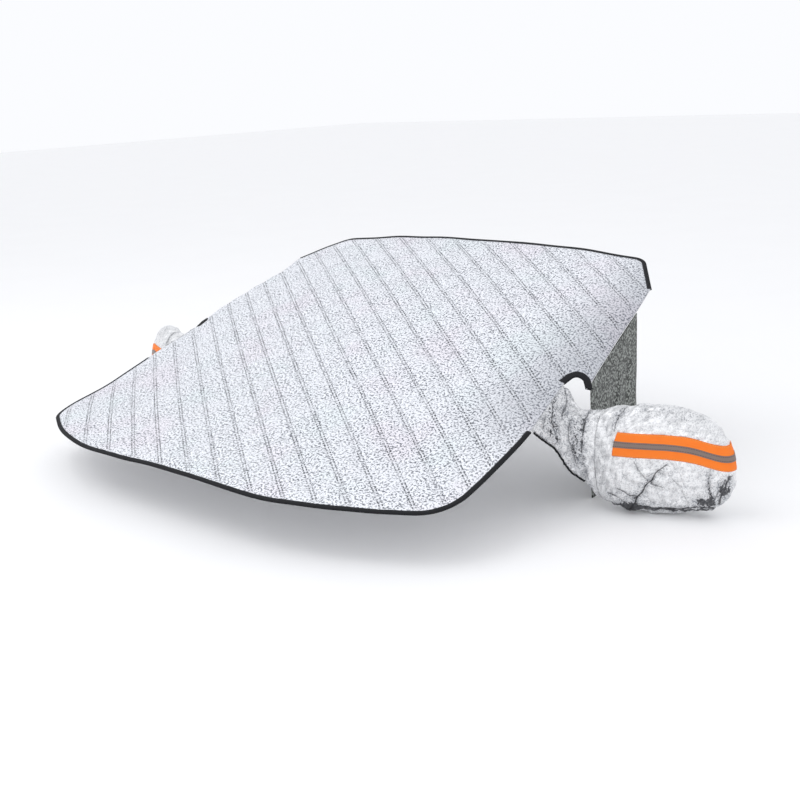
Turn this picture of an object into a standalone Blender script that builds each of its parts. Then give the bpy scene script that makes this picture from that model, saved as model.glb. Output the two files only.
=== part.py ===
"""Windshield frost cover: a quilted foil sheet in the shape that it takes in use.

The sheet slopes up from its front hem, steepest in the middle, and turns down along its sides. A
crinkled neck on each side joins it to a mirror cover with a reflective band, and a flap hangs under
each side edge. Sheet coordinates are s, sideways from the centre line, t, from the front hem up the
sheet, and lift, the height over the stitched face. drape() carries them to the model's axes:
+X sideways, -Y to the front, +Z up. The model's origin is the middle of its base.
"""

import math

import bmesh
import bpy
import numpy as np
from mathutils.geometry import delaunay_2d_cdt

# Flat pattern of the quilted sheet, half of it, in metres
SHEET_LENGTH = 1.155
FRONT_STRAIGHT = 0.400
FRONT_BEND_RADIUS = 0.80
HALF_WIDTH = 0.688
CORNER_SETBACK = 0.150
CORNER_RADIUS = 0.115
NOTCH_INSET = 0.021
NOTCH_T = 0.449
SEAM_LENGTH = 0.171
SEAM_LEAN = math.radians(9.1)
BITE_WIDTH = 0.048
BITE_HEIGHT = 0.036
BITE_RADIUS = 0.014
BITE_SHOULDERS = (0.1, 0.6)
BITE_FOOT_RISE = 0.5
SIDE_LENGTH = 0.402
SIDE_LEAN = math.radians(11.0)
TOP_HALF_WIDTH = 0.520
TOP_CORNER_RADIUS = 0.050

# Sheet, quilting and trim
SHEET_THICKNESS = 0.003
QUILT_RELIEF = 0.0045
QUILT_PITCH_DOWN = 0.059
QUILT_PITCH_ACROSS = 0.071
QUILT_ANGLE_DOWN = math.radians(54.5)
QUILT_ANGLE_ACROSS = math.radians(-42.0)
BINDING_WIDTH = 0.010
BITE_BINDING_WIDTH = 0.014
BINDING_THICKNESS = 0.0009
FLANGE_MARGIN = 0.002
SIDE_LINES = (0.012, 0.023)
QUILT_MARGIN = 0.014
QUILT_FADE = 0.020
BINDING_BULGE = 0.0012
CLEARANCE = 0.0004

# Drape: slopes of the front, the middle and the top, and the crown across the sheet
FRONT_SLOPE = math.radians(13.8)
MIDDLE_SLOPE = math.radians(21.2)
TOP_SLOPE = math.radians(17.4)
FRONT_TURN_T = 0.327
TOP_TURN_T = 0.884
TURN_LENGTH = 0.320
CROWN_RADIUS = 5.714
CROWN_FALL_LENGTH = 1.842
WRAP_ANGLE = math.radians(38.0)
WRAP_WIDTH = 0.045

# Mirror cover: half sizes, the place of its mouth from the middle of the neck's seam, and cloth
COVER_OUTER_HALF_X = 0.1405
COVER_INNER_HALF_X = 0.197
COVER_HALF_Y = 0.054
COVER_HALF_Z = 0.1165
COVER_ROUNDNESS = 2.3
COVER_MOUTH_CUT = 0.115
COVER_SWEEP = 0.077
COVER_BEND = 0.019
MOUTH_OUT = 0.080
MOUTH_BACK = 0.099
MOUTH_DOWN = 0.114
CLOTH_THICKNESS = 0.0025
FOLD_DEPTH = 0.006
FOLD_FADE = 0.030
CREASE_FOOT = -0.041
CREASE_LEAN = math.radians(33.0)
CREASE_BREADTH = 0.013
CRUMPLE_TOP = -0.050
CRUMPLE_PITCH = 0.044
GATHER_PLACES = (-0.070, 0.088)
GATHER_BREADTH = 0.011
NECK_FOLD_DEPTH = 0.009
NECK_FOLDS = 2.4
NECK_FOLD_SLANT = 0.35
NECK_REACH = math.radians(82.0)
NECK_SAG = 0.024
NECK_MARGIN = 0.008
NECK_DEPARTURE = 0.060
HEM_RADIUS = 0.0022
HEM_GAP = 0.0036
ELASTIC_RADIUS = 0.0022
ELASTIC_INSET = 0.004
ELASTIC_GAP = 0.0005

# Reflective band and door flap
TAPE_WIDTH = 0.050
TAPE_LEVEL = 0.040
TAPE_START = 0.070
STRIP_WIDTH = 0.013
TAPE_THICKNESS = 0.0006
TAPE_GAP = 0.0006
TAPE_WRAP = math.radians(26.0)
TAPE_FALL = 0.007
FLAP_START = 0.020
FLAP_LENGTH = 0.290
FLAP_THICKNESS = 0.0025
FLAP_SEAM_DROP = 0.0018
FLAP_TURN = 0.030

# Fineness of the meshes
STEP_LENGTH = 0.045
ARC_STEP = math.radians(15.0)
NECK_COLUMNS = 12
NECK_ROWS = 9
COVER_SEGMENTS = 28
COVER_RINGS = 12
TAPE_ROWS = 5


def clear_scene():
    """Remove every object from the open file."""
    for obj in list(bpy.data.objects):
        bpy.data.objects.remove(obj, do_unlink=True)


def smooth_step(x):
    """Rise smoothly from 0 at x = 0 to 1 at x = 1."""
    x = np.clip(x, 0.0, 1.0)
    return x * x * (3.0 - 2.0 * x)


def along(start, length, lean):
    """The point at a length from start, leaning inward from the t axis."""
    return start + length * np.array([-math.sin(lean), math.cos(lean)])


def straight(start, end, step=STEP_LENGTH):
    """Points from start to end, evenly spaced at about one step."""
    count = max(1, math.ceil(np.linalg.norm(end - start) / step))
    return start + np.linspace(0.0, 1.0, count + 1)[:, None] * (end - start)


def rounded_path(corners, radii):
    """Points along a chain of corners, each inner one rounded by its radius where it fits."""
    corners = [np.asarray(corner, float) for corner in corners]
    points = [corners[0]]
    for before, corner, after, radius in zip(corners, corners[1:], corners[2:], radii):
        into = (corner - before) / np.linalg.norm(corner - before)
        out = (after - corner) / np.linalg.norm(after - corner)
        turn = math.atan2(into[0] * out[1] - into[1] * out[0], into @ out)
        room = 0.6 * min(np.linalg.norm(corner - before), np.linalg.norm(after - corner))
        reach = min(radius * math.tan(abs(turn) / 2), room)
        radius = reach / math.tan(abs(turn) / 2)
        first = corner - reach * into
        centre = first + math.copysign(radius, turn) * np.array([-into[1], into[0]])
        steps = max(2, math.ceil(abs(turn) / ARC_STEP), math.ceil(radius * abs(turn) / STEP_LENGTH))
        angles = np.linspace(0.0, turn, steps + 1)
        arm = first - centre
        cos, sin = np.cos(angles), np.sin(angles)
        arc = np.stack([cos * arm[0] - sin * arm[1], sin * arm[0] + cos * arm[1]], -1) + centre
        points.extend(straight(points[-1], arc[0])[1:])
        points.extend(arc[1:])
    points.extend(straight(points[-1], corners[-1])[1:])
    return np.array(points)


# The pattern's corners on the right half, and the ends of its straight side edge
NOTCH = np.array([HALF_WIDTH - NOTCH_INSET, NOTCH_T])
SEAM_TOP = along(NOTCH, SEAM_LENGTH, SEAM_LEAN)
SIDE_BASE = SEAM_TOP + np.array([BITE_WIDTH, BITE_FOOT_RISE * BITE_HEIGHT])
SIDE_TOP = along(SIDE_BASE, SIDE_LENGTH, SIDE_LEAN)


def pattern_sections():
    """The right half's edge, front centre to top centre, as named runs of points."""
    left, right = [SEAM_TOP + np.array([part * BITE_WIDTH, BITE_HEIGHT]) for part in BITE_SHOULDERS]
    front = [(0.0, 0.0), (FRONT_STRAIGHT, 0.0), (HALF_WIDTH, CORNER_SETBACK), NOTCH]
    top = [SIDE_TOP, (TOP_HALF_WIDTH, SHEET_LENGTH), (0.0, SHEET_LENGTH)]
    return {
        "front": rounded_path(front, [FRONT_BEND_RADIUS, CORNER_RADIUS]),
        "seam": straight(NOTCH, SEAM_TOP),
        "bite": rounded_path([SEAM_TOP, left, right, SIDE_BASE], [BITE_RADIUS] * 2),
        "side": straight(SIDE_BASE, SIDE_TOP),
        "top": rounded_path(top, [TOP_CORNER_RADIUS]),
    }


def mirrored(points):
    """The same run on the left half, in the order that keeps the sheet on its left hand."""
    return points[::-1] * np.array([-1.0, 1.0])


def inward_normals(points):
    """Unit normals of a run of points, to the left of its direction."""
    tangent = np.gradient(points, axis=0)
    normal = np.stack([-tangent[:, 1], tangent[:, 0]], -1)
    return normal / np.linalg.norm(normal, axis=1, keepdims=True)


def edge_distance(points, loop):
    """Distance from each point to a closed loop of points."""
    start = loop
    run = np.roll(loop, -1, axis=0) - start
    offset = points[:, None] - start
    share = np.clip((offset * run).sum(-1) / (run * run).sum(-1), 0.0, 1.0)
    return np.linalg.norm(offset - share[..., None] * run, axis=-1).min(1)


def inside(points, loop):
    """Whether each point lies inside a closed loop, by the even-odd rule."""
    x, y = points[:, 0, None], points[:, 1, None]
    x0, y0 = loop.T
    x1, y1 = np.roll(loop, -1, axis=0).T
    spans = (y0 > y) != (y1 > y)
    rise = np.where(y1 == y0, 1.0, y1 - y0)
    crossing = x0 + (y - y0) * (x1 - x0) / rise
    return (spans & (x < crossing)).sum(1) % 2 == 1


def profile_slope(t):
    """Slope of the centre line at t: front, then middle, then top."""
    middle = smooth_step((t - FRONT_TURN_T) / TURN_LENGTH + 0.5)
    top = smooth_step((t - TOP_TURN_T) / TURN_LENGTH + 0.5)
    return FRONT_SLOPE + (MIDDLE_SLOPE - FRONT_SLOPE) * middle + (TOP_SLOPE - MIDDLE_SLOPE) * top


def profile_point(t):
    """Y and Z of the centre line at t, by summing its slope from the front hem."""
    table = np.linspace(-0.1, 1.5 * SHEET_LENGTH, 1601)
    slope = profile_slope(table)
    step = table[1] - table[0]
    y = np.concatenate([[0.0], np.cumsum(np.cos(slope[1:]) + np.cos(slope[:-1])) * step / 2])
    z = np.concatenate([[0.0], np.cumsum(np.sin(slope[1:]) + np.sin(slope[:-1])) * step / 2])
    y -= np.interp(0.0, table, y)
    z -= np.interp(0.0, table, z)
    return np.interp(t, table, y), np.interp(t, table, z)


def cross_section(s, t):
    """Sideways reach and drop at s: a crowned sheet that turns down along its side edges."""
    lean = (SIDE_TOP[0] - SIDE_BASE[0]) / (SIDE_TOP[1] - SIDE_BASE[1])
    side_s = SIDE_BASE[0] + lean * (t - SIDE_BASE[1])
    wrap = smooth_step((t - NOTCH[1]) / (SIDE_BASE[1] - NOTCH[1]))
    wrap = wrap * (1.0 - smooth_step((t - SIDE_TOP[1]) / (2 * WRAP_WIDTH) + 1.0))
    path = (np.arange(80) + 0.5) / 80 * np.abs(s)[:, None]
    edge = smooth_step((path - side_s[:, None]) / WRAP_WIDTH + 1.0)
    crown = path / CROWN_RADIUS + (path / CROWN_FALL_LENGTH) ** 3
    angle = crown + WRAP_ANGLE * wrap[:, None] * edge
    return s * np.cos(angle).mean(1), np.abs(s) * np.sin(angle).mean(1)


def drape_face(s, t):
    """Points of the sheet's stitched face."""
    y, z = profile_point(t)
    slope = profile_slope(t)
    x, drop = cross_section(s, t)
    return np.stack([x, y + drop * np.sin(slope), z - drop * np.cos(slope)], -1)


def drape(points, lift=0.0):
    """Carry sheet coordinates to space, lifted along the sheet's normal."""
    s, t = np.asarray(points, float).T
    step = 1e-4
    side = drape_face(s + step, t) - drape_face(s - step, t)
    up = drape_face(s, t + step) - drape_face(s, t - step)
    normal = np.cross(side, up)
    normal /= np.linalg.norm(normal, axis=1, keepdims=True)
    return drape_face(s, t) + np.broadcast_to(lift, s.shape)[:, None] * normal


def make_material(name, colour, roughness, metallic=0.0):
    """A plain surface of one colour."""
    material = bpy.data.materials.new(name)
    material.use_nodes = True
    shader = material.node_tree.nodes["Principled BSDF"]
    shader.inputs["Base Color"].default_value = (*colour, 1.0)
    shader.inputs["Roughness"].default_value = roughness
    shader.inputs["Metallic"].default_value = metallic
    return material


def make_object(name, mesh, material, collection):
    """Link a mesh as a named piece with one material."""
    obj = bpy.data.objects.new(name, mesh)
    collection.objects.link(obj)
    obj.data.materials.append(material)
    return obj


def add_thickness(obj, thickness, offset=-1.0):
    """Give an open surface its thickness; offset -1 keeps the modelled face outside."""
    shell = obj.modifiers.new("Thickness", "SOLIDIFY")
    shell.thickness = thickness
    shell.offset = offset
    shell.use_quality_normals = True
    return shell


def grid_mesh(name, points, flip=False):
    """A mesh over a rectangular array of points, from Blender's grid primitive."""
    rows, columns = points.shape[:2]
    bm = bmesh.new()
    bmesh.ops.create_grid(bm, x_segments=columns - 1, y_segments=rows - 1, size=1.0)
    for vertex, point in zip(bm.verts, points.reshape(-1, 3)):
        vertex.co = point
    if flip:
        bmesh.ops.reverse_faces(bm, faces=bm.faces)
    mesh = bpy.data.meshes.new(name)
    bm.to_mesh(mesh)
    bm.free()
    return mesh


def edge_chains(sections):
    """Inner lines beside the trimmed edges and the side edges, each with its distance."""
    flange = BINDING_WIDTH + FLANGE_MARGIN
    runs = [("front", flange), ("bite", BITE_BINDING_WIDTH + FLANGE_MARGIN), ("top", flange)]
    runs.extend(("side", distance) for distance in SIDE_LINES)
    chains = []
    for name, distance in runs:
        for points in (sections[name], mirrored(sections[name])):
            chains.append((points + distance * inward_normals(points), distance))
    return chains


def quilt_nodes(loop):
    """Stitch crossings and patch centres inside the sheet, and the stitched edges between crossings."""
    down = np.array([math.cos(QUILT_ANGLE_DOWN), math.sin(QUILT_ANGLE_DOWN)]) / QUILT_PITCH_DOWN
    across = np.array([math.cos(QUILT_ANGLE_ACROSS), math.sin(QUILT_ANGLE_ACROSS)]) / QUILT_PITCH_ACROSS
    to_sheet = np.linalg.inv(np.array([down, across]))
    reach = 4 * math.ceil(SHEET_LENGTH / min(QUILT_PITCH_DOWN, QUILT_PITCH_ACROSS) / 2)
    index = np.stack(np.meshgrid(range(-reach, reach), range(-reach, reach), indexing="ij"), -1).reshape(-1, 2)
    margin = BITE_BINDING_WIDTH + QUILT_MARGIN
    kept = []
    for shift in (0.0, 0.5):
        points = (index + shift) @ to_sheet.T
        near = (np.abs(points[:, 0]) < HALF_WIDTH) & (np.abs(points[:, 1]) < SHEET_LENGTH)
        keep = near.copy()
        keep[near] = inside(points[near], loop) & (edge_distance(points[near], loop) > margin)
        kept.append((points[keep], index[keep]))
    (crossings, crossing_index), (centres, _) = kept
    place = {tuple(pair): number for number, pair in enumerate(crossing_index.tolist())}
    stitches = []
    for (i, j), number in place.items():
        for neighbour in ((i + 1, j), (i, j + 1)):
            if neighbour in place:
                stitches.append((number, place[neighbour]))
    return crossings, centres, stitches


def build_panel(sections, loop, material, collection):
    """The quilted sheet: its pattern cut in triangles along the stitching, draped and thickened."""
    crossings, centres, stitches = quilt_nodes(loop)
    points = [loop]
    edges = []
    count = len(loop)
    for chain, distance in edge_chains(sections):
        clear = inside(chain, loop) & (edge_distance(chain, loop) > 0.85 * distance)
        numbers = np.cumsum(clear) - 1 + count
        pairs = clear[1:] & clear[:-1]
        edges.extend((int(a), int(a) + 1) for a in numbers[:-1][pairs])
        points.append(chain[clear])
        count += int(clear.sum())
    edges.extend((a + count, b + count) for a, b in stitches)
    points.extend([crossings, centres])
    flat = np.concatenate(points)
    coordinates = [tuple(point) for point in flat.tolist()]
    outline = list(range(len(loop)))
    vertices, _, faces, _, _, _ = delaunay_2d_cdt(coordinates, edges, [outline], 1, 1e-6)
    cut = np.array([tuple(vertex) for vertex in vertices])
    to_centre = np.linalg.norm(cut[:, None] - centres, axis=-1).min(1)
    margin = BITE_BINDING_WIDTH + QUILT_MARGIN
    fade = smooth_step((edge_distance(cut, loop) - margin) / QUILT_FADE)
    lift = np.where(to_centre < 1e-5, QUILT_RELIEF * fade, 0.0)
    mesh = bpy.data.meshes.new("quilted_panel")
    mesh.from_pydata(drape(cut, lift).tolist(), [], faces)
    mesh.update()
    obj = make_object("quilted_panel", mesh, material, collection)
    add_thickness(obj, SHEET_THICKNESS)
    return obj


def build_binding(name, points, width, material, collection):
    """A tape folded over an edge of the sheet: a U-shaped strip swept along a run of the pattern."""
    normals = inward_normals(points)
    under = -SHEET_THICKNESS - CLEARANCE
    section = [
        (width, CLEARANCE),
        (-CLEARANCE, CLEARANCE),
        (-CLEARANCE - BINDING_BULGE, -SHEET_THICKNESS / 2),
        (-CLEARANCE, under),
        (width, under),
    ]
    rows = [drape(points + inset * normals, lift) for inset, lift in section]
    obj = make_object(name, grid_mesh(name, np.array(rows), flip=True), material, collection)
    add_thickness(obj, BINDING_THICKNESS, offset=1.0)
    return obj


def cover_centre(side):
    """Centre of a mirror cover, out, back and down from the middle of the neck's seam."""
    middle = drape(((NOTCH + SEAM_TOP) / 2)[None, :])[0]
    mouth = middle + np.array([MOUTH_OUT, MOUTH_BACK, -MOUTH_DOWN])
    return (mouth + np.array([COVER_MOUTH_CUT, 0.0, 0.0])) * np.array([side, 1.0, 1.0])


def cover_folds(x, z):
    """Depth of the cover's folds, for places out and up from its centre.

    A slanting crease, a crumpled bottom and two upright gathers; none at the mouth, the outer end or
    on the band.
    """
    foot = CREASE_FOOT + (z + COVER_HALF_Z) * math.tan(CREASE_LEAN)
    crease = np.exp(-(((x - foot) / CREASE_BREADTH) ** 2)) * smooth_step((TAPE_LEVEL - z) / FOLD_FADE)
    low = smooth_step((CRUMPLE_TOP - z) / FOLD_FADE)
    crumple = np.sin(2.0 * math.pi * x / CRUMPLE_PITCH) * low
    gathers = sum(np.exp(-(((x - place) / GATHER_BREADTH) ** 2)) for place in GATHER_PLACES)
    depth = 0.9 * crease + 0.45 * crumple + 0.7 * gathers
    band = smooth_step((np.abs(z - TAPE_LEVEL) - 0.5 * TAPE_WIDTH) / FOLD_FADE)
    mouth = smooth_step((x + COVER_MOUTH_CUT) / FOLD_FADE)
    end = smooth_step((COVER_OUTER_HALF_X - x) / FOLD_FADE)
    return FOLD_DEPTH * depth * band * mouth * end


def cover_surface(direction, side):
    """Points of a mirror cover's outer face, for unit directions from its centre.

    It is a rounded body, longer towards its mouth than outward, swept back and bent down outward.
    """
    power = COVER_ROUNDNESS
    size = (np.abs(direction) ** power).sum(-1, keepdims=True) ** (-1.0 / power)
    share = direction * size
    point = share * np.array([COVER_OUTER_HALF_X, COVER_HALF_Y, COVER_HALF_Z])
    point[:, 0] = np.where(share[:, 0] < 0.0, COVER_INNER_HALF_X * share[:, 0], point[:, 0])
    depth = cover_folds(point[:, 0], point[:, 2])
    point -= depth[:, None] * direction
    out = (point[:, 0] + COVER_MOUTH_CUT) / (COVER_MOUTH_CUT + COVER_OUTER_HALF_X)
    point[:, 1] += COVER_SWEEP * smooth_step(out)
    point[:, 2] -= COVER_BEND * smooth_step(share[:, 0]) * share[:, 0]
    return cover_centre(side) + point * np.array([side, 1.0, 1.0])


def mouth_direction(angle):
    """Unit directions to the cover's mouth; angle 0 faces the front and 90 degrees is up."""
    power = COVER_ROUNDNESS
    cut = COVER_MOUTH_CUT / COVER_INNER_HALF_X
    across = np.stack([-np.cos(angle), np.sin(angle)], -1)
    reach = (1.0 - cut**power) ** (1.0 / power)
    scale = reach * (np.abs(across) ** power).sum(-1, keepdims=True) ** (-1.0 / power)
    plane = np.full((len(angle), 1), -cut)
    direction = np.concatenate([plane, across * scale], -1)
    return direction / np.linalg.norm(direction, axis=-1, keepdims=True)


def build_cover(side, name, material, collection):
    """A mirror cover: a puffy cloth shell, open towards the sheet."""
    bm = bmesh.new()
    bmesh.ops.create_uvsphere(bm, u_segments=COVER_SEGMENTS, v_segments=COVER_RINGS, radius=1.0)
    direction = np.array([tuple(vertex.co.normalized()) for vertex in bm.verts])
    points = cover_surface(direction, side)
    for vertex, point in zip(bm.verts, points):
        vertex.co = point
    centre = cover_centre(side)
    mouth = centre - np.array([side * COVER_MOUTH_CUT, 0.0, 0.0])
    geometry = list(bm.verts) + list(bm.edges) + list(bm.faces)
    bmesh.ops.bisect_plane(
        bm, geom=geometry, plane_co=mouth.tolist(), plane_no=(side, 0.0, 0.0), clear_inner=True
    )
    bmesh.ops.remove_doubles(bm, verts=bm.verts, dist=1e-5)
    if side < 0:
        bmesh.ops.reverse_faces(bm, faces=bm.faces)
    mesh = bpy.data.meshes.new(name)
    bm.to_mesh(mesh)
    bm.free()
    obj = make_object(name, mesh, material, collection)
    add_thickness(obj, CLOTH_THICKNESS)
    return obj


def band_row(angles, height):
    """Points round the right cover at a height over its centre, on its outer face.

    The height is the one in front; the row falls a little towards the outer end.
    """
    power = COVER_ROUNDNESS
    face = np.stack([np.cos(angles), np.sin(angles)], -1)
    ring = face * (np.abs(face) ** power).sum(-1, keepdims=True) ** (-1.0 / power)
    level = (height - TAPE_FALL * smooth_step(2.0 * face[:, :1] - 1.0)) / COVER_HALF_Z
    ring = ring * (1.0 - np.abs(level) ** power) ** (1.0 / power)
    direction = np.concatenate([ring, level], -1)
    return cover_surface(direction / np.linalg.norm(direction, axis=-1, keepdims=True), 1)


def band_mesh(name, side, width, lift):
    """A band round the cover's front face and outer end, at a lift over its face.

    It has a column at each of the cover's own, so that its facets lie parallel to the cover's, and the
    first one is cut short at the band's start.
    """
    column = 2.0 * math.pi / COVER_SEGMENTS
    start = math.acos(-TAPE_START / COVER_INNER_HALF_X) / column
    angles = column * np.arange(-math.ceil(start), math.floor(TAPE_WRAP / column) + 1)
    step = 1e-4
    rows = []
    for height in TAPE_LEVEL + np.linspace(-0.5, 0.5, TAPE_ROWS) * width:
        round_cover = band_row(angles + step, height) - band_row(angles - step, height)
        up_cover = band_row(angles, height + step) - band_row(angles, height - step)
        outward = np.cross(round_cover, up_cover)
        outward /= np.linalg.norm(outward, axis=-1, keepdims=True)
        rows.append(band_row(angles, height) + lift * outward)
    points = np.array(rows) * np.array([side, 1.0, 1.0])
    points[:, 0] += (math.ceil(start) - start) * (points[:, 1] - points[:, 0])
    return grid_mesh(name, points, flip=side < 0)


def build_band(side, name, width, lift, material, collection):
    """A woven tape sewn round a mirror cover."""
    obj = make_object(name, band_mesh(name, side, width, lift), material, collection)
    add_thickness(obj, TAPE_THICKNESS, offset=1.0)
    return obj


def neck_points(side):
    """The neck's surface: from the sheet's seam to the front half of the cover's mouth.

    Each row is a cubic that leaves the seam in line with the sheet and meets the mouth square on.
    """
    share = np.linspace(0.0, 1.0, NECK_ROWS)
    margin = NECK_MARGIN / SEAM_LENGTH
    seam = NOTCH + (margin + (1.0 - 2.0 * margin) * share)[:, None] * (SEAM_TOP - NOTCH)
    outward = np.array([math.cos(SEAM_LEAN), math.sin(SEAM_LEAN)])
    start = drape(seam + 2 * CLEARANCE * outward, -SHEET_THICKNESS / 2)
    leave = drape(seam + NECK_DEPARTURE * outward, -SHEET_THICKNESS / 2) - start
    end = cover_surface(mouth_direction(NECK_REACH * (2.0 * share - 1.0)), 1)
    arm = end - cover_centre(1)
    arm[:, 0] = 0.0
    end -= 0.5 * CLOTH_THICKNESS * arm / np.linalg.norm(arm, axis=1, keepdims=True)
    end[:, 0] -= 2 * CLEARANCE
    arrive = np.array([NECK_DEPARTURE, 0.0, 0.0])
    v = np.linspace(0.0, 1.0, NECK_COLUMNS)[:, None, None]
    points = (1.0 + 2.0 * v) * (1.0 - v) ** 2 * start + v * (1.0 - v) ** 2 * leave
    points = points + v**2 * (3.0 - 2.0 * v) * end - v**2 * (1.0 - v) * arrive
    bay = np.sin(math.pi * v[..., 0]) ** 2
    points[..., 2] -= NECK_SAG * bay * share**2
    folds = np.sin(2.0 * math.pi * (NECK_FOLDS * v[..., 0] + NECK_FOLD_SLANT * share)) * bay
    points[..., 1] -= NECK_FOLD_DEPTH * folds
    return points * np.array([side, 1.0, 1.0])


def build_neck(side, name, material, collection):
    """The crinkled cloth between the sheet and a mirror cover."""
    points = neck_points(side)
    obj = make_object(name, grid_mesh(name, points, flip=side > 0), material, collection)
    add_thickness(obj, CLOTH_THICKNESS, offset=0.0)
    return obj


def tube(name, points, radius, cyclic, material, collection):
    """A round cord through points, as a curve with filled ends, made a mesh with its caps joined."""
    curve = bpy.data.curves.new(name, "CURVE")
    curve.dimensions = "3D"
    curve.bevel_depth = radius
    curve.bevel_resolution = 1
    curve.use_fill_caps = not cyclic
    spline = curve.splines.new("POLY")
    spline.points.add(len(points) - 1)
    for knot, point in zip(spline.points, points):
        knot.co = (*point, 1.0)
    spline.use_cyclic_u = cyclic
    guide = bpy.data.objects.new(name + "_guide", curve)
    collection.objects.link(guide)
    view = bpy.context.evaluated_depsgraph_get()
    mesh = bpy.data.meshes.new_from_object(guide.evaluated_get(view))
    bpy.data.objects.remove(guide, do_unlink=True)
    bm = bmesh.new()
    bm.from_mesh(mesh)
    bmesh.ops.remove_doubles(bm, verts=bm.verts, dist=1e-5)
    bmesh.ops.recalc_face_normals(bm, faces=bm.faces)
    bm.to_mesh(mesh)
    bm.free()
    mesh.materials.clear()
    return make_object(name, mesh, material, collection)


def build_hem(side, name, material, collection):
    """The dark rolled hem under a neck's lower edge."""
    points = neck_points(side)
    edge = points[:, 0]
    run = np.gradient(edge, axis=0)
    run /= np.linalg.norm(run, axis=1, keepdims=True)
    down = edge - points[:, 1]
    down -= (down * run).sum(1, keepdims=True) * run
    down /= np.linalg.norm(down, axis=1, keepdims=True)
    route = (edge + (HEM_RADIUS + HEM_GAP) * down)[1:-1]
    return tube(name, route, HEM_RADIUS, False, material, collection)


def build_elastic(side, cover, name, material, collection):
    """The elastic just inside a mirror cover's mouth, laid along the rim of its wall."""
    centre = cover_centre(side)
    plane = centre[0] - side * COVER_MOUTH_CUT
    rim = [vertex for vertex in cover.data.vertices if abs(vertex.co.x - plane) < 1e-5]
    rim.sort(key=lambda vertex: math.atan2(vertex.co.z - centre[2], vertex.co.y - centre[1]))
    place = np.array([tuple(vertex.co) for vertex in rim])
    normal = np.array([tuple(vertex.normal) for vertex in rim])
    points = place - (CLOTH_THICKNESS + ELASTIC_RADIUS + ELASTIC_GAP) * normal
    points[:, 0] = plane + side * ELASTIC_INSET
    return tube(name, points, ELASTIC_RADIUS, True, material, collection)


def build_flap(side, level, name, material, collection):
    """A flap that hangs from the sheet's side edge, flat below its turn, down to a level."""
    run = (SIDE_TOP - SIDE_BASE) / SIDE_LENGTH
    outward = np.array([run[1], -run[0]])
    first = SIDE_BASE + FLAP_START * run
    line = straight(first, first + FLAP_LENGTH * run) + FLAP_SEAM_DROP * outward
    top = drape(line, -SHEET_THICKNESS / 2)
    share = np.linspace(0.0, 1.0, len(top))[:, None]
    flat = top[0] + share * (top[-1] - top[0])
    turn = flat.copy()
    turn[:, 2] = np.minimum(flat[:, 2], top[:, 2]) - FLAP_TURN
    bottom = flat.copy()
    bottom[:, 2] = level
    points = np.array([bottom, turn, top]) * np.array([side, 1.0, 1.0])
    obj = make_object(name, grid_mesh(name, points, flip=side > 0), material, collection)
    add_thickness(obj, FLAP_THICKNESS, offset=0.0)
    return obj


def stand_on_origin(objects):
    """Hang the pieces from an empty that puts the middle of their base at the origin."""
    view = bpy.context.evaluated_depsgraph_get()
    corners = []
    for obj in objects:
        mesh = obj.evaluated_get(view).data
        points = np.empty(3 * len(mesh.vertices), np.float32)
        mesh.vertices.foreach_get("co", points)
        corners.extend([points.reshape(-1, 3).min(0), points.reshape(-1, 3).max(0)])
    low = np.min(corners, axis=0)
    high = np.max(corners, axis=0)
    base = bpy.data.objects.new("base_centre", None)
    base.location = (-(low[0] + high[0]) / 2, -(low[1] + high[1]) / 2, -low[2])
    objects[0].users_collection[0].objects.link(base)
    for obj in objects:
        obj.parent = base


def main():
    """Build every piece of the cover."""
    clear_scene()
    collection = bpy.data.collections.new("windshield_frost_cover")
    bpy.context.scene.collection.children.link(collection)
    foil = make_material("quilted_foil", (0.80, 0.81, 0.84), 0.45, 0.55)
    cloth = make_material("crinkled_foil", (0.74, 0.75, 0.77), 0.38, 0.75)
    black = make_material("black_binding", (0.03, 0.03, 0.035), 0.75)
    orange = make_material("orange_tape", (1.0, 0.23, 0.03), 0.55)
    grey = make_material("grey_reflector", (0.32, 0.28, 0.27), 0.35)

    sections = pattern_sections()
    half = np.concatenate([run[:-1] for run in sections.values()] + [sections["top"][-1:]])
    loop = np.concatenate([half, mirrored(half)[1:-1]])
    pieces = [build_panel(sections, loop, foil, collection)]

    front = np.concatenate([mirrored(sections["front"]), sections["front"][1:]])
    top = np.concatenate([sections["top"], mirrored(sections["top"])[1:]])
    pieces.append(build_binding("front_edge_binding", front, BINDING_WIDTH, black, collection))
    pieces.append(build_binding("top_edge_binding", top, BINDING_WIDTH, black, collection))

    bite = sections["bite"][:-1]
    strip_lift = TAPE_GAP + TAPE_THICKNESS + CLEARANCE
    for side, hand in ((1, "right"), (-1, "left")):
        arc = bite if side > 0 else mirrored(bite)
        pieces.append(build_binding("cutout_binding_" + hand, arc, BITE_BINDING_WIDTH, black, collection))
        pieces.append(build_neck(side, "mirror_neck_" + hand, cloth, collection))
        pieces.append(build_hem(side, "neck_hem_" + hand, black, collection))
        cover = build_cover(side, "mirror_cover_" + hand, cloth, collection)
        level = min(vertex.co.z for vertex in cover.data.vertices)
        pieces.append(cover)
        pieces.append(build_flap(side, level, "door_flap_" + hand, cloth, collection))
        pieces.append(build_elastic(side, cover, "mouth_elastic_" + hand, black, collection))
        pieces.append(build_band(side, "hi_vis_tape_" + hand, TAPE_WIDTH, TAPE_GAP, orange, collection))
        pieces.append(build_band(side, "reflective_strip_" + hand, STRIP_WIDTH, strip_lift, grey, collection))
    stand_on_origin(pieces)


main()
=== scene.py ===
"""Windshield frost cover, dressed: quilted foil sheet, crinkled necks and mirror covers, flaps and trims.

Sheet coordinates are s, sideways from the centre line, t, from the front hem up the sheet, and lift,
the height over the stitched face, all in metres. DrapedSheet carries them to the model's axes:
+X sideways, -Y to the front, +Z up.
"""

from __future__ import annotations

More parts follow.
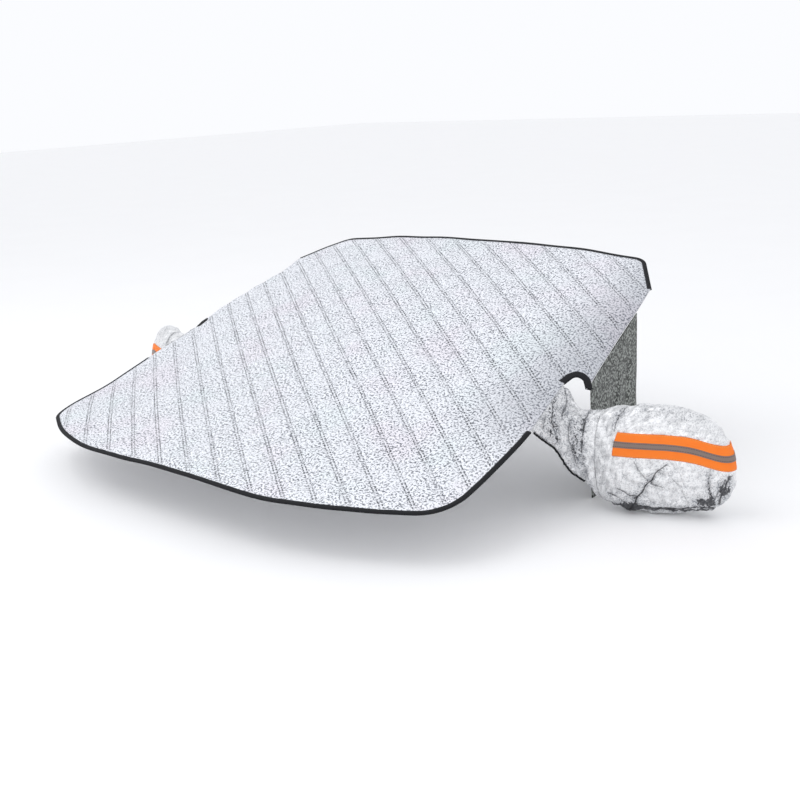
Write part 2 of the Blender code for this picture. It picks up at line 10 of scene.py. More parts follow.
import logging
import math
from collections.abc import Mapping, Sequence
from dataclasses import dataclass, field
from enum import Enum

import bpy
import numpy as np
from mathutils import Matrix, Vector
from mathutils.geometry import delaunay_2d_cdt


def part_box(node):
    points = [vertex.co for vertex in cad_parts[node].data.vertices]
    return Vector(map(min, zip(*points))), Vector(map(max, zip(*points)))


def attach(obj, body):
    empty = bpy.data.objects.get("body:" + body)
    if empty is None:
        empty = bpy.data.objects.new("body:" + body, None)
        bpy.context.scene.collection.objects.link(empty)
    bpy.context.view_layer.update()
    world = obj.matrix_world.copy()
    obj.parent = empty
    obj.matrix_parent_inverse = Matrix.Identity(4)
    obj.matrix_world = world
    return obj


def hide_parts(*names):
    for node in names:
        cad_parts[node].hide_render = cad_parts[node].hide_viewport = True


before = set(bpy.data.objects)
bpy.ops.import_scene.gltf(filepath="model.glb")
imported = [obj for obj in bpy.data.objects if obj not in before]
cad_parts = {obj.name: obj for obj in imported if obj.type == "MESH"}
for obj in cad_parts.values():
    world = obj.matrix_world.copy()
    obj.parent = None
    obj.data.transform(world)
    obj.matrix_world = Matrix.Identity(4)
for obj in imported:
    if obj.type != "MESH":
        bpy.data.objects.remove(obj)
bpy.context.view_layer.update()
LOG = logging.getLogger("frost_cover")

Array = np.ndarray
Colour = tuple[float, float, float]


class Side(Enum):
    """The side of the cover that a piece belongs to, with its sign along X."""

    RIGHT = 1
    LEFT = -1

    @property
    def hand(self) -> str:
        """The side's word in the pieces' names."""
        return self.name.lower()

    def turn(self, points: Array) -> Array:
        """Points of the right side carried to this side."""
        return points * np.array([float(self.value), 1.0, 1.0])


def smooth_step(x: Array) -> Array:
    """Rise smoothly from 0 at x = 0 to 1 at x = 1: three x squared less two x cubed."""
    x = np.clip(x, 0.0, 1.0)
    return x * x * (3.0 - 2.0 * x)


def bell(x: Array, middle: float, width: float) -> Array:
    """A bell round a middle: e to the power of less the square of the distance over the width."""
    return np.exp(-(((x - middle) / width) ** 2))


def unit(vectors: Array) -> Array:
    """Vectors scaled to length one."""
    return vectors / np.maximum(np.linalg.norm(vectors, axis=-1, keepdims=True), 1e-12)


# Meshes


def surface_mesh(name: str, points: Array, faces: Array) -> bpy.types.Mesh:
    """A mesh from whole arrays.

    Args:
        name: the mesh's name.
        points: one row per vertex.
        faces: one row of vertex numbers per face, all with as many corners.

    Returns:
        The mesh, shaded smooth.
    """
    mesh = bpy.data.meshes.new(name)
    mesh.vertices.add(len(points))
    mesh.vertices.foreach_set("co", np.ascontiguousarray(points, np.float32).ravel())
    mesh.loops.add(faces.size)
    mesh.loops.foreach_set("vertex_index", np.ascontiguousarray(faces, np.int32).ravel())
    mesh.polygons.add(len(faces))
    mesh.polygons.foreach_set("loop_start", np.arange(0, faces.size, faces.shape[1], dtype=np.int32))
    mesh.update(calc_edges=True)
    mesh.validate()
    mesh.shade_smooth()
    return mesh


def grid_faces(rows: int, columns: int, wrap: bool = False) -> Array:
    """Quads over a grid of points, row by row.

    Args:
        rows: how many rows of points.
        columns: how many points in a row.
        wrap: whether each row closes on itself.

    Returns:
        One row of four vertex numbers per quad.
    """
    number = np.arange(rows * columns).reshape(rows, columns)
    if wrap:
        number = np.concatenate([number, number[:, :1]], axis=1)
    corners = [number[:-1, :-1], number[:-1, 1:], number[1:, 1:], number[1:, :-1]]
    return np.stack(corners, -1).reshape(-1, 4)


def circles(centre: Array, radius: Array, turn: Array, first: Array, second: Array) -> Array:
    """Circles along a path: each centre plus the radius times a cosine one way and a sine the other.

    Args:
        centre: one row per circle.
        radius: one number per circle.
        turn: the angles of a circle's points.
        first: unit vectors towards angle 0, one or one per circle.
        second: unit vectors towards a quarter turn, one or one per circle.

    Returns:
        An array of circles, points and x, y, z.
    """
    around = np.cos(turn)[:, None] * first[:, None] + np.sin(turn)[:, None] * second[:, None]
    return centre[:, None] + radius[:, None, None] * around


def add_attribute(mesh: bpy.types.Mesh, name: str, values: Array) -> None:
    """Give a mesh's points a named number, or a named vector where values has three columns.

    Args:
        mesh: the mesh.
        name: the attribute's name.
        values: one number or one row of three per vertex.
    """
    if values.ndim == 2:
        layer = mesh.attributes.new(name, "FLOAT_VECTOR", "POINT")
        layer.data.foreach_set("vector", np.ascontiguousarray(values, np.float32).ravel())
    else:
        layer = mesh.attributes.new(name, "FLOAT", "POINT")
        layer.data.foreach_set("value", np.ascontiguousarray(values, np.float32).ravel())


def make_piece(name: str, mesh: bpy.types.Mesh, materials: Sequence[bpy.types.Material]) -> bpy.types.Object:
    """Link a mesh as a named piece with its materials.

    Args:
        name: the piece's name.
        mesh: its mesh.
        materials: its finishes, in the order of their numbers.

    Returns:
        The piece's object.
    """
    piece = bpy.data.objects.new(name, mesh)
    bpy.context.scene.collection.objects.link(piece)
    for material in materials:
        mesh.materials.append(material)
    return piece


def thicken(piece: bpy.types.Object, thickness: float, offset: float) -> None:
    """Give an open surface its thickness; offset -1 keeps the modelled face outside.

    Args:
        piece: the piece.
        thickness: the cloth's thickness in metres.
        offset: -1 inward, 0 to both sides and 1 outward.
    """
    shell = piece.modifiers.new("Thickness", "SOLIDIFY")
    shell.thickness = thickness
    shell.offset = offset
    shell.use_quality_normals = True


def register(piece: bpy.types.Object, node: str) -> None:
    """Put a piece on the frame, hide the solid that it stands for and log its points.

    Args:
        piece: the piece.
        node: the solid that it stands for.
    """
    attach(piece, "root")
    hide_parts(node)
    LOG.info("%s: %d points", piece.name, len(piece.data.vertices))


# Shader nodes


class Socket:
    """A shader output that takes part in Python expressions, each operator as a Math node."""

    def __init__(self, graph: Graph, port: bpy.types.NodeSocket) -> None:
        """Wrap an output of a graph's node."""
        self.graph = graph
        self.port = port

    def maths(self, operation: str, *values: Operand) -> Socket:
        """The result of a Math node on these values."""
        return self.graph.node("ShaderNodeMath", {"operation": operation}, dict(enumerate(values)))

    def __add__(self, other: Operand) -> Socket:
        """Sum."""
        return self.maths("ADD", self, other)

    def __radd__(self, other: Operand) -> Socket:
        """Sum with a number on the left."""
        return self.maths("ADD", other, self)

    def __sub__(self, other: Operand) -> Socket:
        """Difference."""
        return self.maths("SUBTRACT", self, other)

    def __rsub__(self, other: Operand) -> Socket:
        """Difference from a number."""
        return self.maths("SUBTRACT", other, self)

    def __mul__(self, other: Operand) -> Socket:
        """Product."""
        return self.maths("MULTIPLY", self, other)

    def __rmul__(self, other: Operand) -> Socket:
        """Product with a number on the left."""
        return self.maths("MULTIPLY", other, self)

    def __truediv__(self, other: Operand) -> Socket:
        """Quotient."""
        return self.maths("DIVIDE", self, other)

    def __abs__(self) -> Socket:
        """Absolute value."""
        return self.maths("ABSOLUTE", self)

    def fraction(self) -> Socket:
        """What is left above the whole number below."""
        return self.maths("FRACT", self)

    def wave(self) -> Socket:
        """Sine of one turn for each whole number: 0 to 1 and back through -1."""
        return self.maths("SINE", self * (2.0 * math.pi))

    def below(self, limit: Operand) -> Socket:
        """1 where this is less than a limit, else 0."""
        return self.maths("LESS_THAN", self, limit)

    def lesser(self, other: Operand) -> Socket:
        """The smaller of two values."""
        return self.maths("MINIMUM", self, other)

    def greater(self, other: Operand) -> Socket:
        """The larger of two values."""
        return self.maths("MAXIMUM", self, other)

    def beside(self, pitch: float) -> Socket:
        """Distance to the nearest multiple of a pitch."""
        return abs((self / pitch + 0.5).fraction() - 0.5) * pitch

    def rise(self, low: float, high: float) -> Socket:
        """Smoothly from 0 at low to 1 at high; low may be the larger."""
        return self.graph.node(
            "ShaderNodeMapRange",
            {"interpolation_type": "SMOOTHSTEP"},
            {"Value": self, "From Min": low, "From Max": high},
        )

    def sibling(self, name: str) -> Socket:
        """Another output of the same node."""
        return Socket(self.graph, self.port.node.outputs[name])


Operand = Socket | float | int


class Graph:
    """One material's node tree; every node comes from node()."""

    def __init__(self, name: str) -> None:
        """Start a material with an empty tree.

        Args:
            name: the material's name.
        """
        self.material = bpy.data.materials.new(name)
        self.material.use_nodes = True
        self.tree = self.material.node_tree
        self.tree.nodes.clear()

    def node(
        self,
        kind: str,
        settings: Mapping[str, object] | None = None,
        sockets: Mapping[str | int, object] | None = None,
        output: str | int = 0,
    ) -> Socket:
        """Make a node.

        Args:
            kind: the node's type.
            settings: its properties, such as a Math node's operation, set first.
            sockets: values or links of its inputs, by name or number.
            output: the output to return.

        Returns:
            That output.
        """
        made = self.tree.nodes.new(kind)
        for name, value in (settings or {}).items():
            setattr(made, name, value)
        for name, value in (sockets or {}).items():
            target = made.inputs[name]
            if isinstance(value, Socket):
                self.tree.links.new(value.port, target)
            else:
                target.default_value = value
        return Socket(self, made.outputs[output])

    def place(self) -> Socket:
        """The point in the object's own coordinates, in metres."""
        return self.node("ShaderNodeTexCoord", output="Object")

    def attribute(self, name: str) -> Socket:
        """A named vector of the mesh's points."""
        return self.node("ShaderNodeAttribute", {"attribute_name": name}, output="Vector")

    def amount(self, name: str) -> Socket:
        """A named number of the mesh's points."""
        return self.node("ShaderNodeAttribute", {"attribute_name": name}, output="Fac")

    def parts(self, vector: Socket) -> tuple[Socket, Socket, Socket]:
        """A vector's three numbers."""
        first = self.node("ShaderNodeSeparateXYZ", sockets={"Vector": vector})
        return first, first.sibling("Y"), first.sibling("Z")

    def along(self, vector: Socket, direction: Sequence[float]) -> Socket:
        """How far a vector reaches along a direction."""
        sockets = {0: vector, 1: tuple(direction)}
        return self.node("ShaderNodeVectorMath", {"operation": "DOT_PRODUCT"}, sockets, "Value")

    def shift(self, vector: Socket, away: Sequence[float]) -> Socket:
        """A vector with a fixed one added."""
        return self.node("ShaderNodeVectorMath", {"operation": "ADD"}, {0: vector, 1: tuple(away)})

    def stretch(self, vector: Socket, factors: Sequence[float]) -> Socket:
        """A vector with each number times a factor."""
        return self.node("ShaderNodeVectorMath", {"operation": "MULTIPLY"}, {0: vector, 1: tuple(factors)})

    def noise(self, vector: Socket, scale: float, detail: float = 2.0, twist: float = 0.0) -> Socket:
        """Cloudy noise from 0 to 1, with about scale spots a metre."""
        sockets = {"Vector": vector, "Scale": scale, "Detail": detail, "Distortion": twist}
        return self.node("ShaderNodeTexNoise", {"noise_dimensions": "3D"}, sockets)

    def cells(self, vector: Socket, scale: float) -> Socket:
        """Distance to the middle of the nearest random cell, with about scale cells a metre."""
        sockets = {"Vector": vector, "Scale": scale}
        return self.node("ShaderNodeTexVoronoi", {"feature": "F1"}, sockets, "Distance")

    def mix(self, factor: Operand, first: Socket | Colour, second: Socket | Colour) -> Socket:
        """A colour between two colours.

        Args:
            factor: 0 for the first colour to 1 for the second.
            first: a colour or a link to one.
            second: a colour or a link to one.

        Returns:
            The mixed colour.
        """
        ends = [end if isinstance(end, Socket) else (*end, 1.0) for end in (first, second)]
        sockets = {0: factor, 6: ends[0], 7: ends[1]}
        return self.node("ShaderNodeMix", {"data_type": "RGBA"}, sockets, 2)

    def bump(
        self,
        height: Socket,
        distance: float,
        strength: float = 1.0,
        under: Socket | None = None,
    ) -> Socket:
        """A normal from a height of 0 to 1 over a distance in metres, on another bump if there is one.

        Args:
            height: the relief, 0 to 1.
            distance: how high 1 stands, in metres.
            strength: how much of the relief shows.
            under: a coarser bump that this one lies on.

        Returns:
            The normal.
        """
        sockets = {"Height": height, "Distance": distance, "Strength": strength}
        if under is not None:
            sockets["Normal"] = under
        return self.node("ShaderNodeBump", None, sockets)

    def close(self, **sockets: object) -> bpy.types.Material:
        """End the tree in a Principled surface with these inputs, underscores for spaces.

        Args:
            sockets: values or links of the surface's inputs.

        Returns:
            The finished material.
        """
        named = {name.replace("_", " "): value for name, value in sockets.items()}
        shader = self.node("ShaderNodeBsdfPrincipled", None, named)
        self.node_output(shader)
        return self.material

    def node_output(self, shader: Socket) -> None:
        """Join a shader to the material's output."""
        output = self.tree.nodes.new("ShaderNodeOutputMaterial")
        self.tree.links.new(shader.port, output.inputs["Surface"])


# Shape of the cover


@dataclass(frozen=True)
class FlatPattern:
    """The sheet's cut, half of it, and the lattice of its quilting."""

    length: float = 1.155
    front_straight: float = 0.400
    front_bend_radius: float = 0.80
    half_width: float = 0.688
    corner_setback: float = 0.150
    corner_radius: float = 0.115
    notch: tuple[float, float] = (0.667, 0.449)
    seam_length: float = 0.171
    seam_lean: float = math.radians(9.1)
    bite_width: float = 0.048
    bite_height: float = 0.036
    bite_radius: float = 0.014
    bite_shoulders: tuple[float, float] = (0.1, 0.6)
    bite_foot_rise: float = 0.5
    side_length: float = 0.402
    side_lean: float = math.radians(11.0)
    top_half_width: float = 0.520
    top_corner_radius: float = 0.050
    pitch_down: float = 0.059
    pitch_across: float = 0.071
    row_gap: float = 0.0033
    angle_down: float = math.radians(54.5)
    angle_across: float = math.radians(-42.0)

    @property
    def seam_foot(self) -> Array:
        """The notch where the neck's seam starts."""
        return np.array(self.notch)

    @property
    def seam_top(self) -> Array:
        """The upper end of the neck's seam."""
        return self._along(self.seam_foot, self.seam_length, self.seam_lean)

    @property
    def side_base(self) -> Array:
        """The lower end of the straight side edge."""
        return self.seam_top + np.array([self.bite_width, self.bite_foot_rise * self.bite_height])

    @property
    def side_top(self) -> Array:
        """The upper end of the straight side edge."""
        return self._along(self.side_base, self.side_length, self.side_lean)

    @staticmethod
    def _along(start: Array, length: float, lean: float) -> Array:
        """The point at a length from start, leaning inward from the t axis."""
        return start + length * np.array([-math.sin(lean), math.cos(lean)])

    @staticmethod
    def _straight(start: Array, end: Array, step: float) -> Array:
        """Evenly spaced points from start to end."""
        count = max(1, math.ceil(float(np.linalg.norm(end - start)) / step))
        return start + np.linspace(0.0, 1.0, count + 1)[:, None] * (end - start)

    def _rounded(self, corners: Sequence[Array], radii: Sequence[float], step: float) -> Array:
        """Points along a chain of corners, each inner one rounded by its radius where it fits.

        Args:
            corners: the chain's corners.
            radii: one radius for each inner corner.
            step: the largest distance between points.

        Returns:
            The points in order.
        """
        chain = [np.asarray(corner, float) for corner in corners]
        runs = [chain[0][None, :]]
        for before, corner, after, radius in zip(chain, chain[1:], chain[2:], radii):
            into = unit(corner - before)
            out = unit(after - corner)
            turn = math.atan2(into[0] * out[1] - into[1] * out[0], float(into @ out))
            room = 0.6 * min(np.linalg.norm(corner - before), np.linalg.norm(after - corner))
            reach = min(radius * math.tan(abs(turn) / 2), room)
            radius = reach / math.tan(abs(turn) / 2)
            first = corner - reach * into
            centre = first + math.copysign(radius, turn) * np.array([-into[1], into[0]])
            angles = np.linspace(0.0, turn, max(6, math.ceil(radius * abs(turn) / step)) + 1)
            arm = first - centre
            cos, sin = np.cos(angles), np.sin(angles)
            arc = np.stack([cos * arm[0] - sin * arm[1], sin * arm[0] + cos * arm[1]], -1) + centre
            runs.extend([self._straight(runs[-1][-1], arc[0], step)[1:], arc[1:]])
        runs.append(self._straight(runs[-1][-1], chain[-1], step)[1:])
        return np.concatenate(runs)

    def sections(self, step: float) -> dict[str, Array]:
        """The right half's edge, front centre to top centre, as named runs of points.

        Args:
            step: the largest distance between points.

        Returns:
            Rows of s and t for each name.
        """
        left, right = [
            self.seam_top + np.array([part * self.bite_width, self.bite_height])
            for part in self.bite_shoulders
        ]
        front = [
            (0.0, 0.0),
            (self.front_straight, 0.0),
            (self.half_width, self.corner_setback),
            self.seam_foot,
        ]
        top = [self.side_top, (self.top_half_width, self.length), (0.0, self.length)]
        bite = [self.seam_top, left, right, self.side_base]
        return {
            "front": self._rounded(front, [self.front_bend_radius, self.corner_radius], step),
            "seam": self._straight(self.seam_foot, self.seam_top, step),
            "bite": self._rounded(bite, [self.bite_radius] * 2, step),
            "side": self._straight(self.side_base, self.side_top, step),
            "top": self._rounded(top, [self.top_corner_radius], step),
        }

    @staticmethod
    def mirrored(points: Array) -> Array:
        """The same run on the left half, in the order that keeps the sheet on its left hand."""
        return points[::-1] * np.array([-1.0, 1.0])

    def loop(self, step: float) -> Array:
        """The whole outline, once round.

        Args:
            step: the largest distance between points.

        Returns:
            Rows of s and t.
        """
        sections = self.sections(step)
        half = np.concatenate([run[:-1] for run in sections.values()] + [sections["top"][-1:]])
        return np.concatenate([half, self.mirrored(half)[1:-1]])

    def lattice(self) -> Array:
        """Two rows that turn sheet coordinates into counts of stitch lines.

        Returns:
            The row for the double lines and the row for the single ones.
        """
        down = np.array([math.cos(self.angle_down), math.sin(self.angle_down)]) / self.pitch_down
        across = np.array([math.cos(self.angle_across), math.sin(self.angle_across)]) / self.pitch_across
        return np.array([down, across])


def inward_normals(points: Array) -> Array:
    """Unit normals of a run of flat points, to the left of its direction."""
    tangent = np.gradient(points, axis=0)
    return unit(np.stack([-tangent[:, 1], tangent[:, 0]], -1))


def edge_distance(points: Array, loop: Array) -> Array:
    """Distance from each flat point to a closed loop of points, in blocks to spare memory.

    Args:
        points: rows of two coordinates.
        loop: the outline's points in order.

    Returns:
        One distance per point.
    """
    run = np.roll(loop, -1, axis=0) - loop
    square = (run * run).sum(-1)
    found = []
    for block in np.array_split(points, max(1, len(points) // 4000)):
        offset = block[:, None] - loop
        share = np.clip((offset * run).sum(-1) / square, 0.0, 1.0)
        found.append(np.linalg.norm(offset - share[..., None] * run, axis=-1).min(1))
    return np.concatenate(found)


def inside(points: Array, loop: Array) -> Array:
    """Whether each flat point lies inside a closed loop, by the even-odd rule.

    Args:
        points: rows of two coordinates.
        loop: the outline's points in order.

    Returns:
        One truth value per point.
    """
    x0, y0 = loop.T
    x1, y1 = np.roll(loop, -1, axis=0).T
    rise = np.where(y1 == y0, 1.0, y1 - y0)
    found = []
    for block in np.array_split(points, max(1, len(points) // 4000)):
        x, y = block[:, 0, None], block[:, 1, None]
        spans = (y0 > y) != (y1 > y)
        found.append((spans & (x < x0 + (y - y0) * (x1 - x0) / rise)).sum(1) % 2 == 1)
    return np.concatenate(found)


@dataclass(frozen=True)
class DrapedSheet:
    """How the flat cut lies: its slope up from the front hem, its crown and its turned-down sides."""

    pattern: FlatPattern
    thickness: float = 0.003
    front_slope: float = math.radians(13.8)
    middle_slope: float = math.radians(21.2)
    top_slope: float = math.radians(17.4)
    front_turn: float = 0.327
    top_turn: float = 0.884
    turn_length: float = 0.320
    crown_radius: float = 5.714
    crown_fall_length: float = 1.842
    wrap_angle: float = math.radians(38.0)
    wrap_width: float = 0.045
    unevenness: float = 0.0011

    def slope(self, t: Array) -> Array:
        """Slope of the centre line at t: front, then middle, then top.

        Args:
            t: places up the sheet.

        Returns:
            One angle each, in radians.
        """
        middle = smooth_step((t - self.front_turn) / self.turn_length + 0.5)
        top = smooth_step((t - self.top_turn) / self.turn_length + 0.5)
        rise = (self.middle_slope - self.front_slope) * middle
        return self.front_slope + rise + (self.top_slope - self.middle_slope) * top

    def profile(self, t: Array) -> tuple[Array, Array]:
        """Y and Z of the centre line at t, by summing its slope from the front hem.

        Args:
            t: places up the sheet.

        Returns:
            The Y and the Z of each.
        """
        table = np.linspace(-0.1, 1.5 * self.pattern.length, 1601)
        slope = self.slope(table)
        step = table[1] - table[0]
        y = np.concatenate([[0.0], np.cumsum(np.cos(slope[1:]) + np.cos(slope[:-1])) * step / 2])
        z = np.concatenate([[0.0], np.cumsum(np.sin(slope[1:]) + np.sin(slope[:-1])) * step / 2])
        y -= np.interp(0.0, table, y)
        z -= np.interp(0.0, table, z)
        return np.interp(t, table, y), np.interp(t, table, z)

    def base(self) -> Array:
        """Where the front hem's middle stands in the frame.

        Returns:
            Its x, y and z.
        """
        low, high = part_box("quilted_panel")
        _, top = self.profile(np.array([self.pattern.length]))
        return np.array([0.0, low[1], high[2] - float(top[0])])

    def _section(self, s: Array, t: Array) -> tuple[Array, Array]:
        """Sideways reach and drop at s: the mean cosine and sine of the lean from the middle out to s.

        Args:
            s: places sideways.
            t: places up the sheet, one for each s.

        Returns:
            The reach along X and the drop square to the centre line.
        """
        base, top = self.pattern.side_base, self.pattern.side_top
        turned = base[0] + (top[0] - base[0]) / (top[1] - base[1]) * (t - base[1])
        wrap = smooth_step((t - self.pattern.notch[1]) / (base[1] - self.pattern.notch[1]))
        wrap = wrap * (1.0 - smooth_step((t - top[1]) / (2 * self.wrap_width) + 1.0))
        path = (np.arange(80) + 0.5) / 80 * np.abs(s)[:, None]
        edge = smooth_step((path - turned[:, None]) / self.wrap_width + 1.0)
        crown = path / self.crown_radius + (path / self.crown_fall_length) ** 3
        angle = crown + self.wrap_angle * wrap[:, None] * edge
        return s * np.cos(angle).mean(1), np.abs(s) * np.sin(angle).mean(1)

    def _face(self, s: Array, t: Array) -> Array:
        """Points of the smooth stitched face, from the centre line's point, the reach and the drop.

        Args:
            s: places sideways.
            t: places up the sheet, one for each s.

        Returns:
            Rows of x, y and z, from the middle of the front hem.
        """
        y, z = self.profile(t)
        slope = self.slope(t)
        x, drop = self._section(s, t)
        return np.stack([x, y + drop * np.sin(slope), z - drop * np.cos(slope)], -1)

    def ripple(self, s: Array, t: Array) -> Array:
        """The cloth's slow unevenness: three crossed sine waves of 0.1 to 0.4 m.

        Args:
            s: places sideways.
            t: places up the sheet, one for each s.

        Returns:
            One height each, in metres.
        """
        first = np.sin(2 * math.pi * (1.9 * s + 3.1 * t) + 0.6)
        second = np.sin(2 * math.pi * (4.7 * s - 2.3 * t) + 2.1)
        third = np.sin(2 * math.pi * (6.1 * s + 7.3 * t) + 4.0)
        return self.unevenness * (first + 0.6 * second + 0.35 * third)

    def carry(self, points: Array, lift: Array | float = 0.0) -> Array:
        """Carry sheet coordinates to the model's, lifted along the sheet's normal.

        Args:
            points: rows of s and t.
            lift: height over the stitched face, one for all or one each.

        Returns:
            Rows of x, y and z.
        """
        s, t = np.asarray(points, float).T
        step = 1e-4
        side = self._face(s + step, t) - self._face(s - step, t)
        up = self._face(s, t + step) - self._face(s, t - step)
        normal = unit(np.cross(side, up))
        height = np.broadcast_to(lift, s.shape) + self.ripple(s, t)
        return self._face(s, t) + height[:, None] * normal + self.base()


@dataclass(frozen=True)
class Crumple:
    """Creased foil: sums of folded plane waves, whose ridges and valleys bound flat facets."""

    seed: int
    wavelength: float
    depth: float
    octaves: int = 3
    waves: int = 5
    bend: float = 0.55

    def height(self, points: Array) -> Array:
        """The crumple's height, about -depth to depth.

        Each wave is a triangle wave along a random direction whose phase is bent by slow sines, so
        that creases wander; each octave halves the wavelength and the depth.

        Args:
            points: rows of x, y and z.

        Returns:
            One height each, in metres.
        """
        random = np.random.default_rng(self.seed)
        total = np.zeros(len(points))
        for octave in range(self.octaves):
            length = self.wavelength / 2**octave
            direction = unit(random.normal(size=(self.waves, 3)))
            bender = unit(random.normal(size=(self.waves, 3)))
            phase = random.uniform(0.0, 1.0, self.waves)
            bent = self.bend * np.sin(2 * math.pi * points @ bender.T / (2.7 * length) + 6.3 * phase)
            turns = points @ direction.T / length + phase + bent
            fold = 4.0 * np.abs(turns % 1.0 - 0.5) - 1.0
            total += self.depth / 2**octave * fold.sum(1) / math.sqrt(self.waves)
        return total


@dataclass(frozen=True)
class Fold:
    """One fold of cloth along a path on a flat chart, in metres: a sharp valley and its soft banks, with
    dark the strength of the painted shade along it.
    """

    path: tuple[tuple[float, float], ...]
    depth: float
    width: float
    dark: float = 1.0
    bank: float = 0.6
    spread: float = 1.0

    def reach(self, chart: Array) -> tuple[Array, Array]:
        """How far points lie from the path.

        Args:
            chart: rows of two chart coordinates.

        Returns:
            Distances with a sign for the path's two sides, and distances.
        """
        signed = np.full(len(chart), 1.0)
        nearest = np.full(len(chart), 1.0)
        for start, end in zip(self.path, self.path[1:]):
            run = np.array(end) - np.array(start)
            offset = chart - np.array(start)
            share = np.clip(offset @ run / (run @ run), 0.0, 1.0)
            distance = np.linalg.norm(offset - share[:, None] * run, axis=1)
            side = offset @ np.array([-run[1], run[0]]) / math.sqrt(run @ run)
            closer = distance < nearest
            signed = np.where(closer, side, signed)
            nearest = np.where(closer, distance, nearest)
        return signed, nearest

    def height(self, distance: Array) -> Array:
        """The fold's height: its valley falls off exponentially, and the bank is a wider bell less it.

        Args:
            distance: distances from the fold's path.

        Returns:
            One height each, in metres.
        """
        valley = np.exp(-distance / (0.45 * self.width))
        bell = np.exp(-((distance / (2.2 * self.width)) ** 2))
        return self.depth * (self.bank * bell - (1.0 + self.bank) * valley)


def folded(folds: Sequence[Fold], chart: Array) -> tuple[Array, Array, Array]:
    """The height of several folds together, the mark of the nearest one and the painted shade round them.

    Args:
        folds: the folds.
        chart: rows of two chart coordinates.

    Returns:
        The heights, rows of the signed distance, the distance and the painted darkness of the nearest fold,
        and the soft painted shade round all of them.
    """
    height = np.zeros(len(chart))
    shade = np.zeros(len(chart))
    mark = np.tile([1.0, 1.0, 0.0], (len(chart), 1))
    for fold in folds:
        signed, distance = fold.reach(chart)
        height += fold.height(distance)
        shade += fold.dark * np.exp(-((distance / (2.6 * fold.width)) ** 2))
        closer = (distance < mark[:, 1])[:, None]
        drawn = np.stack([signed, distance, np.full(len(chart), fold.dark * fold.spread)], -1) / fold.spread
        mark = np.where(closer, drawn, mark)
    return height, mark, shade


@dataclass(frozen=True)
class CoverForm:
    """The mirror cover's smooth body: a rounded solid cut off square at its mouth, swept back and bent down.

    It is shaped straight first, where its folds and bands are laid out, and set() then sweeps it.
    """

    sheet: DrapedSheet
    outer_half: float = 0.1405
    inner_half: float = 0.197
    half_y: float = 0.054
    half_z: float = 0.1165
    roundness: float = 2.3
    mouth_cut: float = 0.115
    mouth_place: tuple[float, float, float] = (0.080, 0.099, -0.114)
    sweep: float = 0.077
    bend: float = 0.019
    cloth: float = 0.0025

    def centre(self) -> Array:
        """The right cover's centre, out, back and down from the middle of the neck's seam.

        Returns:
            Its x, y and z in the frame.
        """
        pattern = self.sheet.pattern
        middle = ((pattern.seam_foot + pattern.seam_top) / 2)[None, :]
        face = self.sheet.carry(middle, -self.sheet.ripple(*middle.T))[0]
        return face + np.array(self.mouth_place) + np.array([self.mouth_cut, 0.0, 0.0])

    def body(self, direction: Array) -> tuple[Array, Array]:
        """The straight body's outer face.

        Args:
            direction: rows of unit directions from the centre.

        Returns:
            Points from the centre in metres, and the outward unit normals there.
        """
        power = self.roundness
        size = (np.abs(direction) ** power).sum(-1, keepdims=True) ** (-1.0 / power)
        share = direction * size
        half = np.stack(
            [
                np.where(share[:, 0] < 0.0, self.inner_half, self.outer_half),
                np.full(len(share), self.half_y),
                np.full(len(share), self.half_z),
            ],
            -1,
        )
        return share * half, unit(np.sign(share) * np.abs(share) ** (power - 1.0) / half)

    def set(self, point: Array) -> Array:
        """Points of the straight body swept back and bent down outward, and put in the frame.

        Args:
            point: rows of x, y and z from the centre.

        Returns:
            Rows of x, y and z in the frame.
        """
        out = (point[:, 0] + self.mouth_cut) / (self.mouth_cut + self.outer_half)
        share = point[:, 0] / self.outer_half
        moved = point.copy()
        moved[:, 1] += self.sweep * smooth_step(out)
        moved[:, 2] -= self.bend * smooth_step(share) * share
        return self.centre() + moved

    def mouth_direction(self, angle: Array) -> Array:
        """Unit directions to the mouth's rim; angle 0 faces the front and a quarter turn is up.

        Args:
            angle: angles round the mouth, in radians.

        Returns:
            Rows of unit directions.
        """
        power = self.roundness
        cut = self.mouth_cut / self.inner_half
        across = np.stack([-np.cos(angle), np.sin(angle)], -1)
        reach = (1.0 - cut**power) ** (1.0 / power)
        scale = reach * (np.abs(across) ** power).sum(-1, keepdims=True) ** (-1.0 / power)
        plane = np.full((len(angle), 1), -cut)
        return unit(np.concatenate([plane, across * scale], -1))


# Finishes


